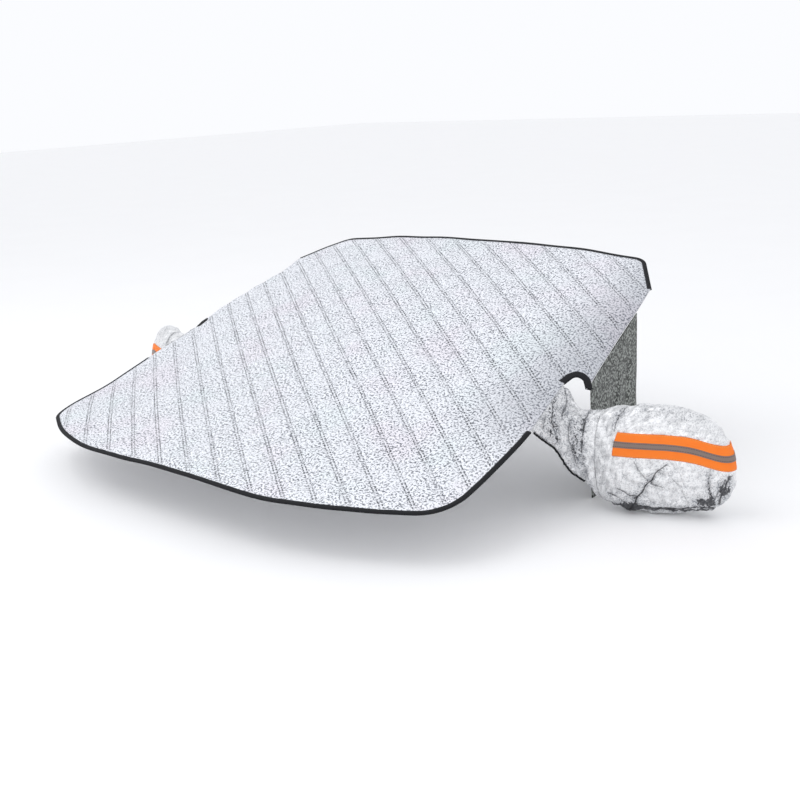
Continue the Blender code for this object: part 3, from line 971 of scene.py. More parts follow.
@dataclass(frozen=True)
class QuiltedFoil:
    """Embossed silver foil over thin padding, quilted with double rows one way and single rows the other."""

    pattern: FlatPattern
    bright: Colour = (0.86, 0.88, 0.925)
    fleck: Colour = (0.13, 0.14, 0.17)
    # fleck: dark grey of the painted shade and dark reflection in the embossed flecks, the grooves and the
    # side edge
    rose: Colour = (0.86, 0.84, 0.90)
    leaf: Colour = (0.83, 0.88, 0.91)
    thread: Colour = (0.025, 0.028, 0.035)
    fleck_size: float = 0.0049
    stitch_length: float = 0.0110
    stitch_width: float = 0.0019
    dash_share: float = 0.62
    dot_share: float = 0.48
    groove_shade: float = 0.05
    side_shade: float = 0.40

    def _stitches(self, graph: Graph, place: Socket, lines: Socket) -> tuple[Socket, Socket]:
        """How much thread shows, and how deep the stitched grooves are.

        Args:
            graph: the material's nodes.
            place: the sheet's own coordinates.
            lines: 0 at the hems, where no stitch runs, and 1 further in.

        Returns:
            The thread's share and the groove's depth, both 0 to 1.
        """
        pattern = self.pattern
        down = (math.cos(pattern.angle_down), math.sin(pattern.angle_down), 0.0)
        across = (math.cos(pattern.angle_across), math.sin(pattern.angle_across), 0.0)
        beside_down = graph.along(place, down).beside(pattern.pitch_down)
        beside_across = graph.along(place, across).beside(pattern.pitch_across)
        run_down = graph.along(place, (-down[1], down[0], 0.0)) / self.stitch_length
        run_across = graph.along(place, (-across[1], across[0], 0.0)) / self.stitch_length
        double = abs(beside_down - pattern.row_gap).rise(self.stitch_width, 0.3 * self.stitch_width)
        single = beside_across.rise(self.stitch_width, 0.3 * self.stitch_width)
        shown = graph.noise(place, 26.0, 3.0).rise(0.38, 0.60)
        faint = graph.noise(place, 34.0, 3.0).rise(0.46, 0.66)
        dashes = run_down.fraction().below(self.dash_share) * (0.40 + 0.60 * shown)
        dots = run_across.fraction().below(self.dot_share) * (0.10 + 0.85 * faint)
        thread = (double * dashes).greater(single * dots)
        groove = beside_down.rise(0.0075, 0.0032).greater(0.5 * beside_across.rise(0.004, 0.0005))
        return thread * lines, groove * lines

    def face(self) -> bpy.types.Material:
        """The foil side, on the sheet's own coordinates.

        Returns:
            The finished material.
        """
        graph = Graph("quilted_foil")
        place = graph.attribute("sheet")
        right, far, edge = graph.parts(place)
        flat = graph.stretch(place, (1.0, 1.0, 0.0))
        lines = edge.rise(0.010, 0.016)
        thread, groove = self._stitches(graph, flat, lines)
        # Painted shade and dark reflection: the embossed crinkle's flecks are painted dark, stronger in
        # random patches
        speckle = graph.noise(flat, 1.0 / self.fleck_size, 3.0, 0.3)
        sharp = graph.noise(flat, 2.1 / self.fleck_size, 2.0)
        tint_patches = graph.noise(flat, 5.0, 3.0)
        fleck_patches = graph.noise(flat, 13.0, 3.0)
        # Painted shade: a band along the right side edge, where the sheet turns down
        side = right.rise(0.42, 0.66) * far.rise(0.30, 0.55)
        strength = 0.72 + 0.26 * fleck_patches.rise(0.66, 0.44)
        dark = (0.75 * speckle + 0.25 * sharp).rise(0.52, 0.41) * strength
        # Random patches tint the bright foil pink and blue-green
        tint = graph.mix(tint_patches.rise(0.50, 0.66), self.bright, self.rose)
        cool = graph.mix(tint_patches.rise(0.46, 0.32), tint, self.leaf)
        flecked = graph.mix(dark, cool, self.fleck)
        # Painted shade in the stitched grooves and along the right side edge, mixed toward the fleck colour
        shade = (groove * self.groove_shade).greater(self.side_shade * side)
        shaded = graph.mix(shade, flecked, self.fleck)
        colour = graph.mix(thread * 0.95, shaded, self.thread)
        emboss = graph.bump(speckle, 0.0010, 0.35)
        crease = graph.bump(graph.noise(flat, 70.0, 3.0, 0.4), 0.0016, 0.35, emboss)
        normal = graph.bump(1.0 - thread, 0.0008, 0.8, crease)
        roughness = 0.42 + 0.18 * speckle + 0.15 * thread
        return graph.close(Base_Color=colour, Roughness=roughness, Metallic=0.15, Normal=normal)

    def lining(self) -> bpy.types.Material:
        """The plain underside: white non-woven felt.

        Returns:
            The finished material.
        """
        graph = Graph("sheet_lining")
        place = graph.place()
        fuzz = graph.noise(place, 900.0, 3.0)
        mottle = graph.noise(place, 40.0, 2.0)
        colour = graph.mix(0.6 * fuzz + 0.4 * mottle, (0.60, 0.61, 0.63), (0.78, 0.78, 0.79))
        normal = graph.bump(fuzz, 0.0005, 0.6)
        return graph.close(Base_Color=colour, Roughness=0.9, Normal=normal)


@dataclass(frozen=True)
class CrinkledFoil:
    """Soft silver foil cloth, finely crinkled, with painted shade and dark reflection where it is folded in
    and crumpled.
    """

    name: str = "crinkled_foil"
    light: Colour = (0.91, 0.915, 0.925)
    # grey and dark: colours of painted shade and dark reflection
    grey: Colour = (0.24, 0.25, 0.275)
    dark: Colour = (0.020, 0.020, 0.024)
    metallic: float = 0.35

    def _facets(self, graph: Graph, place: Socket) -> tuple[Socket, Socket]:
        """The height of wandering folded waves, 0 to 1, and thin lines of painted shade in their valleys.

        Args:
            graph: the material's nodes.
            place: the object's own coordinates.

        Returns:
            The height and the lines.
        """
        waves = (
            ((0.82, 0.31, 0.48), 0.031),
            ((-0.44, 0.22, 0.87), 0.024),
            ((0.35, -0.55, -0.76), 0.019),
            ((0.93, -0.12, -0.35), 0.015),
        )
        height: Operand = 0.0
        lines: Operand = 0.0
        for number, (direction, length) in enumerate(waves):
            shifted = graph.shift(place, (0.37 * number, 0.11, 0.23 * number))
            bend = graph.noise(shifted, 0.45 / length, 2.0)
            shown = graph.noise(shifted, 30.0, 2.0)
            valley = (graph.along(place, direction) / length + 1.6 * bend).beside(1.0)
            height = valley + height
            lines = (valley.rise(0.05, 0.0) * shown.rise(0.50, 0.62)).greater(lines)
        return height * 0.5, lines

    def material(self) -> bpy.types.Material:
        """The cloth; the attribute crease says how much painted shade darkens it where it is crumpled, and
        fold marks its folds for painted shade along them.

        Returns:
            The finished material.
        """
        graph = Graph(self.name)
        place = graph.place()
        crease = graph.amount("crease")
        signed, distance, amount = graph.parts(graph.attribute("fold"))
        grain = graph.noise(place, 150.0, 3.0, 0.3)
        fine = graph.noise(place, 330.0, 2.0)
        cloud = graph.noise(place, 24.0, 3.0)
        height, lines = self._facets(graph, place)
        # Painted shade: darker in facet valleys, in creases and in a random cloud; the specks are painted
        # shade and dark reflection of the crinkle, stronger in creases
        shade = 0.06 * cloud.rise(0.60, 0.40) + 0.16 * height.rise(0.55, 0.20) + 0.62 * crease
        speck = (0.30 * grain + 0.70 * fine).rise(0.52, 0.42) * (0.30 + 0.6 * crease)
        soft = graph.mix(shade + speck + 0.30 * lines, self.light, self.grey)
        # Painted shade along the folds: a thin dark core line and a soft halo; and painted dark reflection
        # patches where the cloth is crumpled
        wander = abs(signed) + 0.0016 * (grain - 0.42)
        core = wander.rise(0.0020, 0.0008) * distance.rise(0.005, 0.003) * amount
        halo = distance.rise(0.012, 0.001) * amount * (0.25 + 0.9 * fine.rise(0.55, 0.42))
        shadowed = graph.mix((0.45 * halo).lesser(1.0), soft, self.grey)
        painted_dark_patches = (0.90 * crease + -0.65 * grain + -0.35 * fine).rise(0.0, 0.07)
        colour = graph.mix((core * 0.92).greater(painted_dark_patches * 0.85), shadowed, self.dark)
        broad = graph.bump(height, 0.0090, 0.85)
        rough = graph.bump(grain, 0.0012, 0.35, broad)
        roughness = 0.34 + 0.20 * fine
        return graph.close(Base_Color=colour, Roughness=roughness, Metallic=self.metallic, Normal=rough)


@dataclass(frozen=True)
class FlapFoil:
    """The door flaps' thin speckled foil: silver foil with painted shade that makes it dark grey-green."""

    light: Colour = (0.33, 0.35, 0.33)
    dark: Colour = (0.006, 0.007, 0.006)

    def material(self) -> bpy.types.Material:
        """The flap's cloth, painted dark grey as in shade, speckled with dark flecks and painted light
        glints.

        Returns:
            The finished material.
        """
        graph = Graph("flap_foil")
        place = graph.place()
        cells = graph.cells(place, 210.0)
        grain = graph.noise(place, 190.0, 2.0)
        cloud = graph.noise(place, 22.0, 2.0)
        fleck = grain.rise(0.49, 0.57)
        # Painted shade: the whole flap is a dark grey mix of the silver foil; the light cells are painted
        # glints
        colour = graph.mix(0.75 * fleck + 0.25 * cloud, self.dark, self.light)
        glint = graph.mix(cells.rise(0.16, 0.04) * 0.5, colour, (0.78, 0.80, 0.79))
        normal = graph.bump(cells, 0.0006, 0.7, graph.bump(graph.noise(place, 70.0, 2.0), 0.0020, 0.6))
        return graph.close(Base_Color=glint, Roughness=0.42 + 0.2 * grain, Metallic=0.45, Normal=normal)


@dataclass(frozen=True)
class WovenTape:
    """A woven tape, ribbed along its length, with one row of stitches; lies on the attribute tape."""

    name: str
    colour: Colour
    shade: Colour
    thread: Colour
    rib: float = 0.0011
    pick: float = 0.0016
    stitch_row: float = 0.0025
    stitch_length: float = 0.0045
    roughness: float = 0.72
    sheen: float = 0.25

    def material(self) -> bpy.types.Material:
        """The tape: the attribute is the way along, the way in from its edge and its width, in metres.

        Returns:
            The finished material.
        """
        graph = Graph(self.name)
        along, inset, _ = graph.parts(graph.attribute("tape"))
        ribs = (inset / self.rib).wave()
        picks = (along / self.pick).wave()
        weave = 0.5 + 0.25 * ribs + 0.25 * picks * ribs
        row = abs(inset - self.stitch_row).rise(0.0007, 0.0003)
        stitch = row * (along / self.stitch_length).fraction().below(0.7)
        dust = graph.noise(graph.place(), 60.0, 3.0)
        cloth = graph.mix(0.65 * weave + 0.35 * dust, self.shade, self.colour)
        colour = graph.mix(stitch * 0.8, cloth, self.thread)
        under = graph.bump(weave, 0.0003, 0.7)
        normal = graph.bump(stitch, 0.0005, 0.8, under)
        roughness = self.roughness + 0.12 * dust
        return graph.close(
            Base_Color=colour, Roughness=roughness, Specular_IOR_Level=self.sheen, Normal=normal
        )


# Sub-assemblies


@dataclass
class QuiltedPanel:
    """The padded sheet: one closed shell, puffed between its stitch lines, with a plain underside."""

    sheet: DrapedSheet
    relief: float = 0.0036
    quilt_margin: float = 0.028
    quilt_fade: float = 0.020
    swell_reach: float = 0.013
    single_dip: float = 0.55
    single_reach: float = 0.009
    pucker: float = 0.00035
    pucker_length: float = 0.013
    pucker_reach: float = 0.008
    crowding: float = 0.6
    spots_down: int = 13
    spots_across: int = 14
    edge_step: float = 0.006
    under_step: float = 0.030

    def _lattice_points(self, spots: tuple[int, int], loop: Array, margin: float) -> Array:
        """Points of a grid laid along the stitch lines, inside the outline by a margin.

        The grid's places within a patch crowd to the stitch lines: x less the crowding times
        sin(two pi x) over two pi.

        Args:
            spots: how many points cross a patch, down and across.
            loop: the sheet's outline.
            margin: how far the points stay from it.

        Returns:
            Rows of s and t.
        """
        pattern = self.sheet.pattern
        to_sheet = np.linalg.inv(pattern.lattice())
        reach = 2 * math.ceil(pattern.length / min(pattern.pitch_down, pattern.pitch_across))
        axes = []
        for count in spots:
            part = np.arange(count) / count
            crowded = part - self.crowding * np.sin(2 * math.pi * part) / (2 * math.pi)
            axes.append((np.arange(-reach, reach)[:, None] + crowded).ravel())
        grid = np.stack(np.meshgrid(*axes, indexing="ij"), -1).reshape(-1, 2) @ to_sheet.T
        near = (np.abs(grid[:, 0]) < pattern.half_width) & (grid[:, 1] > 0) & (grid[:, 1] < pattern.length)
        grid = grid[near]
        kept = inside(grid, loop)
        grid = grid[kept]
        return grid[edge_distance(grid, loop) > margin]

    @staticmethod
    def _triangles(outline: Array, points: Array) -> tuple[Array, Array]:
        """Points and triangles of an outline filled through inner points.

        Args:
            outline: the outline's points in order.
            points: rows of s and t.

        Returns:
            Rows of s and t, the outline's first, and rows of three vertex numbers.
        """
        flat = np.concatenate([outline, points])
        loop = list(range(len(outline)))
        vertices, _, faces, _, _, _ = delaunay_2d_cdt(flat.tolist(), [], [loop], 1, 1e-7)
        return np.array([tuple(vertex) for vertex in vertices]), np.array(faces)

    def _puff(self, points: Array, distance: Array) -> Array:
        """Height of the quilting: each patch swells from its stitch lines, which pucker a little.

        With a and b the distances to the nearest double and single line, the height is the relief
        times (1 - exp(-(a - gap) / swell reach)) times (1 - dip exp(-b / single reach)), plus the
        puckers beside the double lines, a sine along them that fades as a bell.

        Args:
            points: rows of s and t.
            distance: how far each lies from the outline.

        Returns:
            One height each, in metres.
        """
        pattern = self.sheet.pattern
        count = points @ pattern.lattice().T
        beside = np.abs(count - np.round(count)) * np.array([pattern.pitch_down, pattern.pitch_across])
        past = np.maximum(beside[:, 0] - pattern.row_gap, 0.0)
        swell = 1.0 - np.exp(-past / self.swell_reach)
        swell *= 1.0 - self.single_dip * np.exp(-beside[:, 1] / self.single_reach)
        run = points @ np.array([-math.sin(pattern.angle_down), math.cos(pattern.angle_down)])
        pucker = self.pucker * np.sin(2 * math.pi * run / self.pucker_length)
        pucker *= bell(past, 0.0, self.pucker_reach)
        fade = smooth_step((distance - self.quilt_margin + self.quilt_fade) / self.quilt_fade)
        return fade * (self.relief * swell + pucker)

    def build(self, foil: QuiltedFoil) -> bpy.types.Object:
        """Make the sheet from its foil side, a coarser underside and the rim between them.

        Args:
            foil: the finish of both faces.

        Returns:
            The sheet.
        """
        pattern = self.sheet.pattern
        coarse = pattern.loop(self.under_step)
        outline = pattern.loop(self.edge_step)
        shrink = 1
        spots = (self.spots_down // shrink, self.spots_across // shrink)
        top, faces = self._triangles(outline, self._lattice_points(spots, coarse, 0.75 * self.edge_step))
        distance = edge_distance(top, coarse)
        upper = self.sheet.carry(top, self._puff(top, distance))
        step = self.under_step
        half = math.ceil(pattern.half_width / step)
        across = np.arange(-half, half + 1) * step
        up = np.arange(step, pattern.length, step)
        under = np.stack(np.meshgrid(across, up), -1).reshape(-1, 2)
        under = under[inside(under, coarse)]
        under = under[edge_distance(under, coarse) > 0.6 * step]
        bottom, back = self._triangles(outline, under)
        lower = self.sheet.carry(bottom, -self.sheet.thickness)
        count = len(outline)
        first = np.arange(count)
        second = np.roll(first, -1)
        rim = np.concatenate(
            [
                np.stack([second, first, first + len(top)], -1),
                np.stack([second, first + len(top), second + len(top)], -1),
            ]
        )
        every = np.concatenate([faces, back[:, ::-1] + len(top), rim])
        mesh = surface_mesh("quilted_sheet", np.concatenate([upper, lower]), every)
        number = np.zeros(len(every), np.int32)
        number[len(faces) :] = 1
        mesh.polygons.foreach_set("material_index", number)
        flat = np.concatenate([top, bottom])
        depth = np.concatenate([distance, np.zeros(len(bottom))])
        add_attribute(mesh, "sheet", np.concatenate([flat, depth[:, None]], 1))
        piece = make_piece("quilted_sheet", mesh, [foil.face(), foil.lining()])
        register(piece, "quilted_panel")
        return piece


@dataclass
class EdgeBindings:
    """The black tapes folded over the sheet's hems and round the two cut-outs."""

    sheet: DrapedSheet
    width: float = 0.0075
    bite_width: float = 0.014
    thickness: float = 0.0009
    clearance: float = 0.0004
    bulge: float = 0.0016
    step: float = 0.0045
    upper_rows: int = 6
    turn_rows: int = 7
    lower_rows: int = 4
    turn_start: float = 0.0015
    flat_from: float = 0.003

    def _strip(
        self,
        name: str,
        points: Array,
        width: float,
        material: bpy.types.Material,
    ) -> bpy.types.Object:
        """A U-shaped strip: over the sheet, round its edge in a half circle, and back under it.

        Args:
            name: the piece's name.
            points: the edge in sheet coordinates.
            width: how far the tape reaches in from the edge.
            material: the tape's cloth.

        Returns:
            The strip, with its thickness.
        """
        normals = inward_normals(points)
        half = self.sheet.thickness / 2 + self.clearance
        turn = np.linspace(math.pi / 2, 3 * math.pi / 2, self.turn_rows)
        over = np.linspace(width, self.turn_start, self.upper_rows)
        back = np.linspace(self.turn_start, width, self.lower_rows)
        inset = np.concatenate([over, (self.bulge + self.clearance) * np.cos(turn), back])
        lift = np.concatenate([np.full(len(over), half), half * np.sin(turn), np.full(len(back), -half)])
        lift -= self.sheet.thickness / 2
        way = np.concatenate([[0.0], np.cumsum(np.linalg.norm(np.diff(points, axis=0), axis=1))])
        pucker = 0.00022 * np.sin(2 * math.pi * way / 0.011) + 0.0002 * np.sin(2 * math.pi * way / 0.047)
        rows = []
        for part, height in zip(inset, lift):
            puckered = height + pucker * (part > self.flat_from)
            rows.append(self.sheet.carry(points + part * normals, puckered))
        shape = (len(inset), len(points))
        mesh = surface_mesh(name, np.array(rows).reshape(-1, 3), grid_faces(*shape)[:, ::-1])
        across = np.broadcast_to((width - inset)[:, None], shape)
        tape = np.stack([np.broadcast_to(way, shape), across, np.full(shape, width)], -1)
        add_attribute(mesh, "tape", tape.reshape(-1, 3))
        piece = make_piece(name, mesh, [material])
        thicken(piece, self.thickness, 1.0)
        return piece

    def build(self, material: bpy.types.Material) -> list[bpy.types.Object]:
        """Make the front, top and cut-out bindings.

        Args:
            material: the tape's finish.

        Returns:
            The four bindings.
        """
        sections = self.sheet.pattern.sections(self.step)
        mirrored = self.sheet.pattern.mirrored
        front = np.concatenate([mirrored(sections["front"]), sections["front"][1:]])
        top = np.concatenate([sections["top"], mirrored(sections["top"])[1:]])
        bite = self.sheet.pattern.sections(0.002)["bite"][:-1]
        made = []
        for name, points, width in (
            ("front_edge_binding", front, self.width),
            ("top_edge_binding", top, self.width),
            ("cutout_binding_right", bite, self.bite_width),
            ("cutout_binding_left", mirrored(bite), self.bite_width),
        ):
            piece = self._strip(name + "_tape", points, width, material)
            register(piece, name)
            made.append(piece)
        return made


@dataclass
class MirrorCover:
    """A mirror's soft cover: a puffy cloth shell, open towards the sheet, with its bands and elastic."""

    form: CoverForm
    side: Side
    rows: int = 118
    columns: int = 210
    tape_width: float = 0.050
    tape_level: float = 0.040
    tape_start: float = 0.070
    strip_width: float = 0.013
    tape_thickness: float = 0.0006
    tape_wrap: float = math.radians(26.0)
    tape_fall: float = 0.007
    tape_steps: int = 28
    relief: float = 0.0035
    floor_blend: float = 0.0015
    floor_gap: float = 0.0006
    elastic_radius: float = 0.0020
    elastic_inset: float = 0.0055
    elastic_depth: float = 0.004
    gathers: int = 64
    folds: tuple[Fold, ...] = field(
        default=(
            Fold(((-0.048, -0.106), (-0.034, -0.089), (-0.027, -0.074)), 0.0044, 0.0050),
            Fold(((-0.027, -0.074), (-0.013, -0.059), (-0.007, -0.044), (0.006, -0.031)), 0.0044, 0.0045),
            Fold(((0.006, -0.031), (0.014, -0.014), (0.031, 0.002)), 0.0036, 0.0040, 0.8),
            Fold(((-0.026, 0.004), (-0.019, -0.012), (-0.002, -0.033)), 0.0016, 0.0035, 0.45),
            Fold(((0.006, -0.040), (0.023, -0.045)), 0.0014, 0.0035, 0.55),
            Fold(((-0.060, -0.058), (-0.040, -0.071), (-0.028, -0.068)), 0.0020, 0.0040, 0.8),
            Fold(((-0.086, -0.074), (-0.070, -0.080), (-0.050, -0.094)), 0.0030, 0.0050, 0.8),
            Fold(
                ((-0.030, -0.097), (0.014, -0.099), (0.060, -0.094), (0.099, -0.084)),
                0.0036,
                0.0050,
                spread=1.8,
            ),
            Fold(((0.084, -0.076), (0.092, -0.064), (0.101, -0.070)), 0.0020, 0.0045, 0.9),
            Fold(((0.1385, -0.006), (0.131, -0.034), (0.117, -0.069)), 0.0030, 0.0050, 0.9),
            Fold(((0.133, -0.012), (0.124, -0.036), (0.112, -0.060)), 0.0018, 0.0040, 0.6),
            Fold(((0.110, 0.010), (0.107, -0.012), (0.1065, -0.050)), 0.0012, 0.0040, 0.3),
            Fold(((-0.066, 0.110), (-0.0695, 0.091), (-0.0705, 0.068)), 0.0016, 0.0045, 0.5),
            Fold(((-0.098, 0.040), (-0.094, -0.010), (-0.098, -0.052)), 0.0016, 0.0070, 0.12),
            Fold(((0.040, -0.020), (0.060, -0.052), (0.066, -0.080)), 0.0014, 0.0040, 0.25),
        )
    )

    def _crush(self, point: Array) -> Array:
        """How much painted shade and dark reflection darken the crumpled cloth, 0 to 1: a weighted sum of
        places, each a product of bells and steps.

        They are patches and a line along the bottom, the outer corner, a blob beside it, the gathers
        at the outer end, the seam at the mouth and the upper rim.

        Args:
            point: rows of x, y and z from the cover's centre.

        Returns:
            One number each.
        """
        x, z = point[:, 0], point[:, 2]
        low = -z / self.form.half_z
        bottom = smooth_step((low - 0.66) / 0.20) * smooth_step((0.99 - low) / 0.04)
        patches = bottom * (bell(x, -0.052, 0.022) + bell(x, 0.090, 0.016))
        line = smooth_step((low - 0.80) / 0.06) * smooth_step((0.93 - low) / 0.06)
        corner = bell(x, 0.131, 0.011) * bell(z, -0.038, 0.026)
        blob = bell(x, 0.090, 0.011) * bell(z, -0.071, 0.010)
        gather = bell(x, 0.107, 0.006) * smooth_step((0.75 - low) / 0.2) * smooth_step((low + 0.1) / 0.1)
        sewn = bell(x, -0.069, 0.007) * smooth_step((-low - 0.50) / 0.1)
        rim = smooth_step((-low - 0.70) / 0.22) * smooth_step((x + 0.06) / 0.04)
        lower = 0.62 * patches + 0.54 * line + 0.46 * corner + 0.58 * blob
        upper = 0.46 * gather + 0.50 * sewn + 0.20 * rim
        return np.clip(lower + upper, 0.0, 1.0)

    def _shell(self, direction: Array) -> tuple[Array, Array, Array]:
        """Points of the crinkled outer face, still straight, with the painted shade of each and its fold's
        mark.

        The smooth body is dented by the folds on its front face, and by two scales of crumple that
        fade out under the band and at the mouth.

        Args:
            direction: rows of unit directions from the centre.

        Returns:
            The points from the centre, the painted shade of each, and the marks of the nearest folds.
        """
        form = self.form
        point, outward = form.body(direction)
        front = smooth_step(-point[:, 1] / form.half_y / 0.35 + 0.4)
        height, mark, shade = folded(self.folds, point[:, [0, 2]])
        height *= front
        mark[:, 2] *= front
        band = smooth_step((np.abs(point[:, 2] - self.tape_level) - 0.55 * self.tape_width) / 0.020)
        turned = smooth_step((0.35 - point[:, 1] / form.half_y) / 0.3)
        started = smooth_step((point[:, 0] + self.tape_start + 0.01) / 0.01)
        band = 1.0 - (1.0 - band) * turned * started
        mouth = smooth_step((point[:, 0] + form.mouth_cut) / 0.030)
        low = smooth_step((-0.55 - point[:, 2] / form.half_z) / 0.4)
        broad = Crumple(11, 0.070, 0.0022, 3, 5).height(point)
        fine = Crumple(23, 0.024, 0.0013, 2, 6).height(point) * (0.35 + 0.9 * low)
        height = height * band * mouth + (broad - 0.0015) * (0.12 + 0.88 * band) * (0.25 + 0.75 * mouth)
        height += fine * band * (0.3 + 0.7 * mouth)
        # Painted shade: the crumple map, stronger on the front face, plus the soft painted shade round the
        # folds, faded under the band
        painted_shade = self._crush(point) * (0.4 + 0.6 * front) + 0.22 * shade * front
        painted_shade = np.clip(painted_shade, 0.0, 1.0) * (0.1 + 0.9 * band)
        point = point + np.minimum(height, self.relief)[:, None] * outward
        return point, painted_shade, mark

    def _place(self, points: Array) -> Array:
        """Points of the straight body swept and put in the frame on this side, none under the floor.

        The height is a smooth maximum of itself and the gap: the blend times the logarithm of the sum
        of both their exponentials over the blend.

        Args:
            points: rows of x, y and z from the cover's centre.

        Returns:
            Rows of x, y and z in the frame.
        """
        placed = self.form.set(points)
        blend = self.floor_blend
        placed[:, 2] = np.logaddexp(placed[:, 2] / blend, self.floor_gap / blend) * blend
        return self.side.turn(placed)

    def build_shell(self, material: bpy.types.Material) -> bpy.types.Object:
        """The cloth shell: rings from the mouth's rim to the outer pole, which closes to one point.

        Args:
            material: the cloth's finish.

        Returns:
            The shell.
        """
        angle = np.linspace(0.0, 2 * math.pi, self.columns, endpoint=False)
        rim = self.form.mouth_direction(angle)
        tilt = np.arccos(np.clip(rim[:, 0], -1.0, 1.0))
        across = unit(rim[:, 1:])
        share = np.linspace(1.0, 0.0, self.rows + 1)[:-1, None]
        beta = share * tilt
        direction = np.stack([np.cos(beta), np.sin(beta) * across[:, 0], np.sin(beta) * across[:, 1]], -1)
        pole = np.array([[1.0, 0.0, 0.0]])
        points, painted_shade, mark = self._shell(np.concatenate([direction.reshape(-1, 3), pole]))
        faces = grid_faces(self.rows, self.columns, wrap=True)
        last = (self.rows - 1) * self.columns + np.arange(self.columns)
        cap = np.stack([last, np.roll(last, -1), np.full(self.columns, len(points) - 1)], -1)
        name = "mirror_cover_shell_" + self.side.hand
        mesh = bpy.data.meshes.new(name)
        every = [face[:: -self.side.value] for face in faces.tolist() + cap.tolist()]
        mesh.from_pydata(self._place(points).tolist(), [], every)
        mesh.shade_smooth()
        # The attribute crease carries the painted shade
        add_attribute(mesh, "crease", painted_shade)
        add_attribute(mesh, "fold", mark)
        piece = make_piece(name, mesh, [material])
        thicken(piece, self.form.cloth, -1.0)
        register(piece, "mirror_cover_" + self.side.hand)
        return piece

    def build_band(
        self,
        name: str,
        width: float,
        lift: float,
        material: bpy.types.Material,
    ) -> bpy.types.Object:
        """A tape round the cover's front face and outer end.

        Args:
            name: the node that it stands for, without its side.
            width: the tape's width.
            lift: its height over the cover's face.
            material: the tape's cloth.

        Returns:
            The tape.
        """
        power = self.form.roundness
        start = math.acos(-self.tape_start / self.form.inner_half)
        step = 2.0 * math.pi / self.tape_steps
        angles = np.linspace(-start, step * math.floor(self.tape_wrap / step), 170)
        height = np.linspace(-0.5, 0.5, 15)[:, None] * width
        fall = self.tape_fall * smooth_step(2.0 * np.cos(angles) - 1.0)
        level = (self.tape_level + height - fall) / self.form.half_z
        face = np.stack([np.cos(angles), np.sin(angles)], -1)
        ring = face * (np.abs(face) ** power).sum(-1, keepdims=True) ** (-1.0 / power)
        scale = (1.0 - np.abs(level) ** power) ** (1.0 / power)
        shape = level.shape
        direction = np.stack([scale * ring[:, 0], scale * ring[:, 1], level], -1)
        point, outward = self.form.body(unit(direction.reshape(-1, 3)))
        shell, _, _ = self._shell(unit(direction.reshape(-1, 3)))
        proud = np.maximum(((shell - point) * outward).sum(1), -0.0012)
        point = point + (proud + lift)[:, None] * outward
        faces = grid_faces(*shape)[:, :: self.side.value]
        full = f"{name}_{self.side.hand}"
        mesh = surface_mesh(full + "_cloth", self._place(point), faces)
        grid = point.reshape(*shape, 3)
        way = np.linalg.norm(np.diff(grid, axis=1), axis=-1).cumsum(axis=1)
        way = np.concatenate([np.zeros((shape[0], 1)), way], axis=1)
        inset = np.broadcast_to(width / 2 - np.abs(height), shape)
        tape = np.stack([way, inset, np.full(shape, width)], -1)
        add_attribute(mesh, "tape", tape.reshape(-1, 3))
        piece = make_piece(full + "_cloth", mesh, [material])
        thicken(piece, self.tape_thickness, 1.0)
        register(piece, full)
        return piece

    def build_elastic(self, material: bpy.types.Material) -> bpy.types.Object:
        """The round elastic inside the mouth: a gathered ring of small circles along the rim.

        Args:
            material: the elastic's finish.

        Returns:
            The elastic.
        """
        angle = np.linspace(0.0, 2 * math.pi, 260, endpoint=False)
        rim, _ = self.form.body(self.form.mouth_direction(angle))
        inward = unit(rim * np.array([0.0, 1.0, 1.0]))
        centre = rim - self.elastic_inset * inward
        centre[:, 0] = -self.form.mouth_cut + self.elastic_depth
        turn = np.linspace(0.0, 2 * math.pi, 12, endpoint=False)
        radius = self.elastic_radius * (1.0 + 0.1 * np.sin(self.gathers * angle))
        ring = circles(centre, radius, turn, inward, np.array([[1.0, 0.0, 0.0]]))
        number = np.arange(len(angle) * len(turn)).reshape(len(angle), len(turn))
        ahead = np.roll(number, -1, axis=0)
        beside, across = np.roll(number, -1, axis=1), np.roll(ahead, -1, axis=1)
        faces = np.stack([number, beside, across, ahead], -1).reshape(-1, 4)[:, :: self.side.value]
        full = "mouth_elastic_" + self.side.hand
        mesh = surface_mesh(full + "_cord", self._place(ring.reshape(-1, 3)), faces)
        way = np.broadcast_to(angle[:, None] * 0.07, (len(angle), len(turn)))
        around = np.broadcast_to(turn * 0.002, (len(angle), len(turn)))
        add_attribute(mesh, "tape", np.stack([way, around, 0 * way], -1).reshape(-1, 3))
        piece = make_piece(full + "_cord", mesh, [material])
        register(piece, full)
        return piece


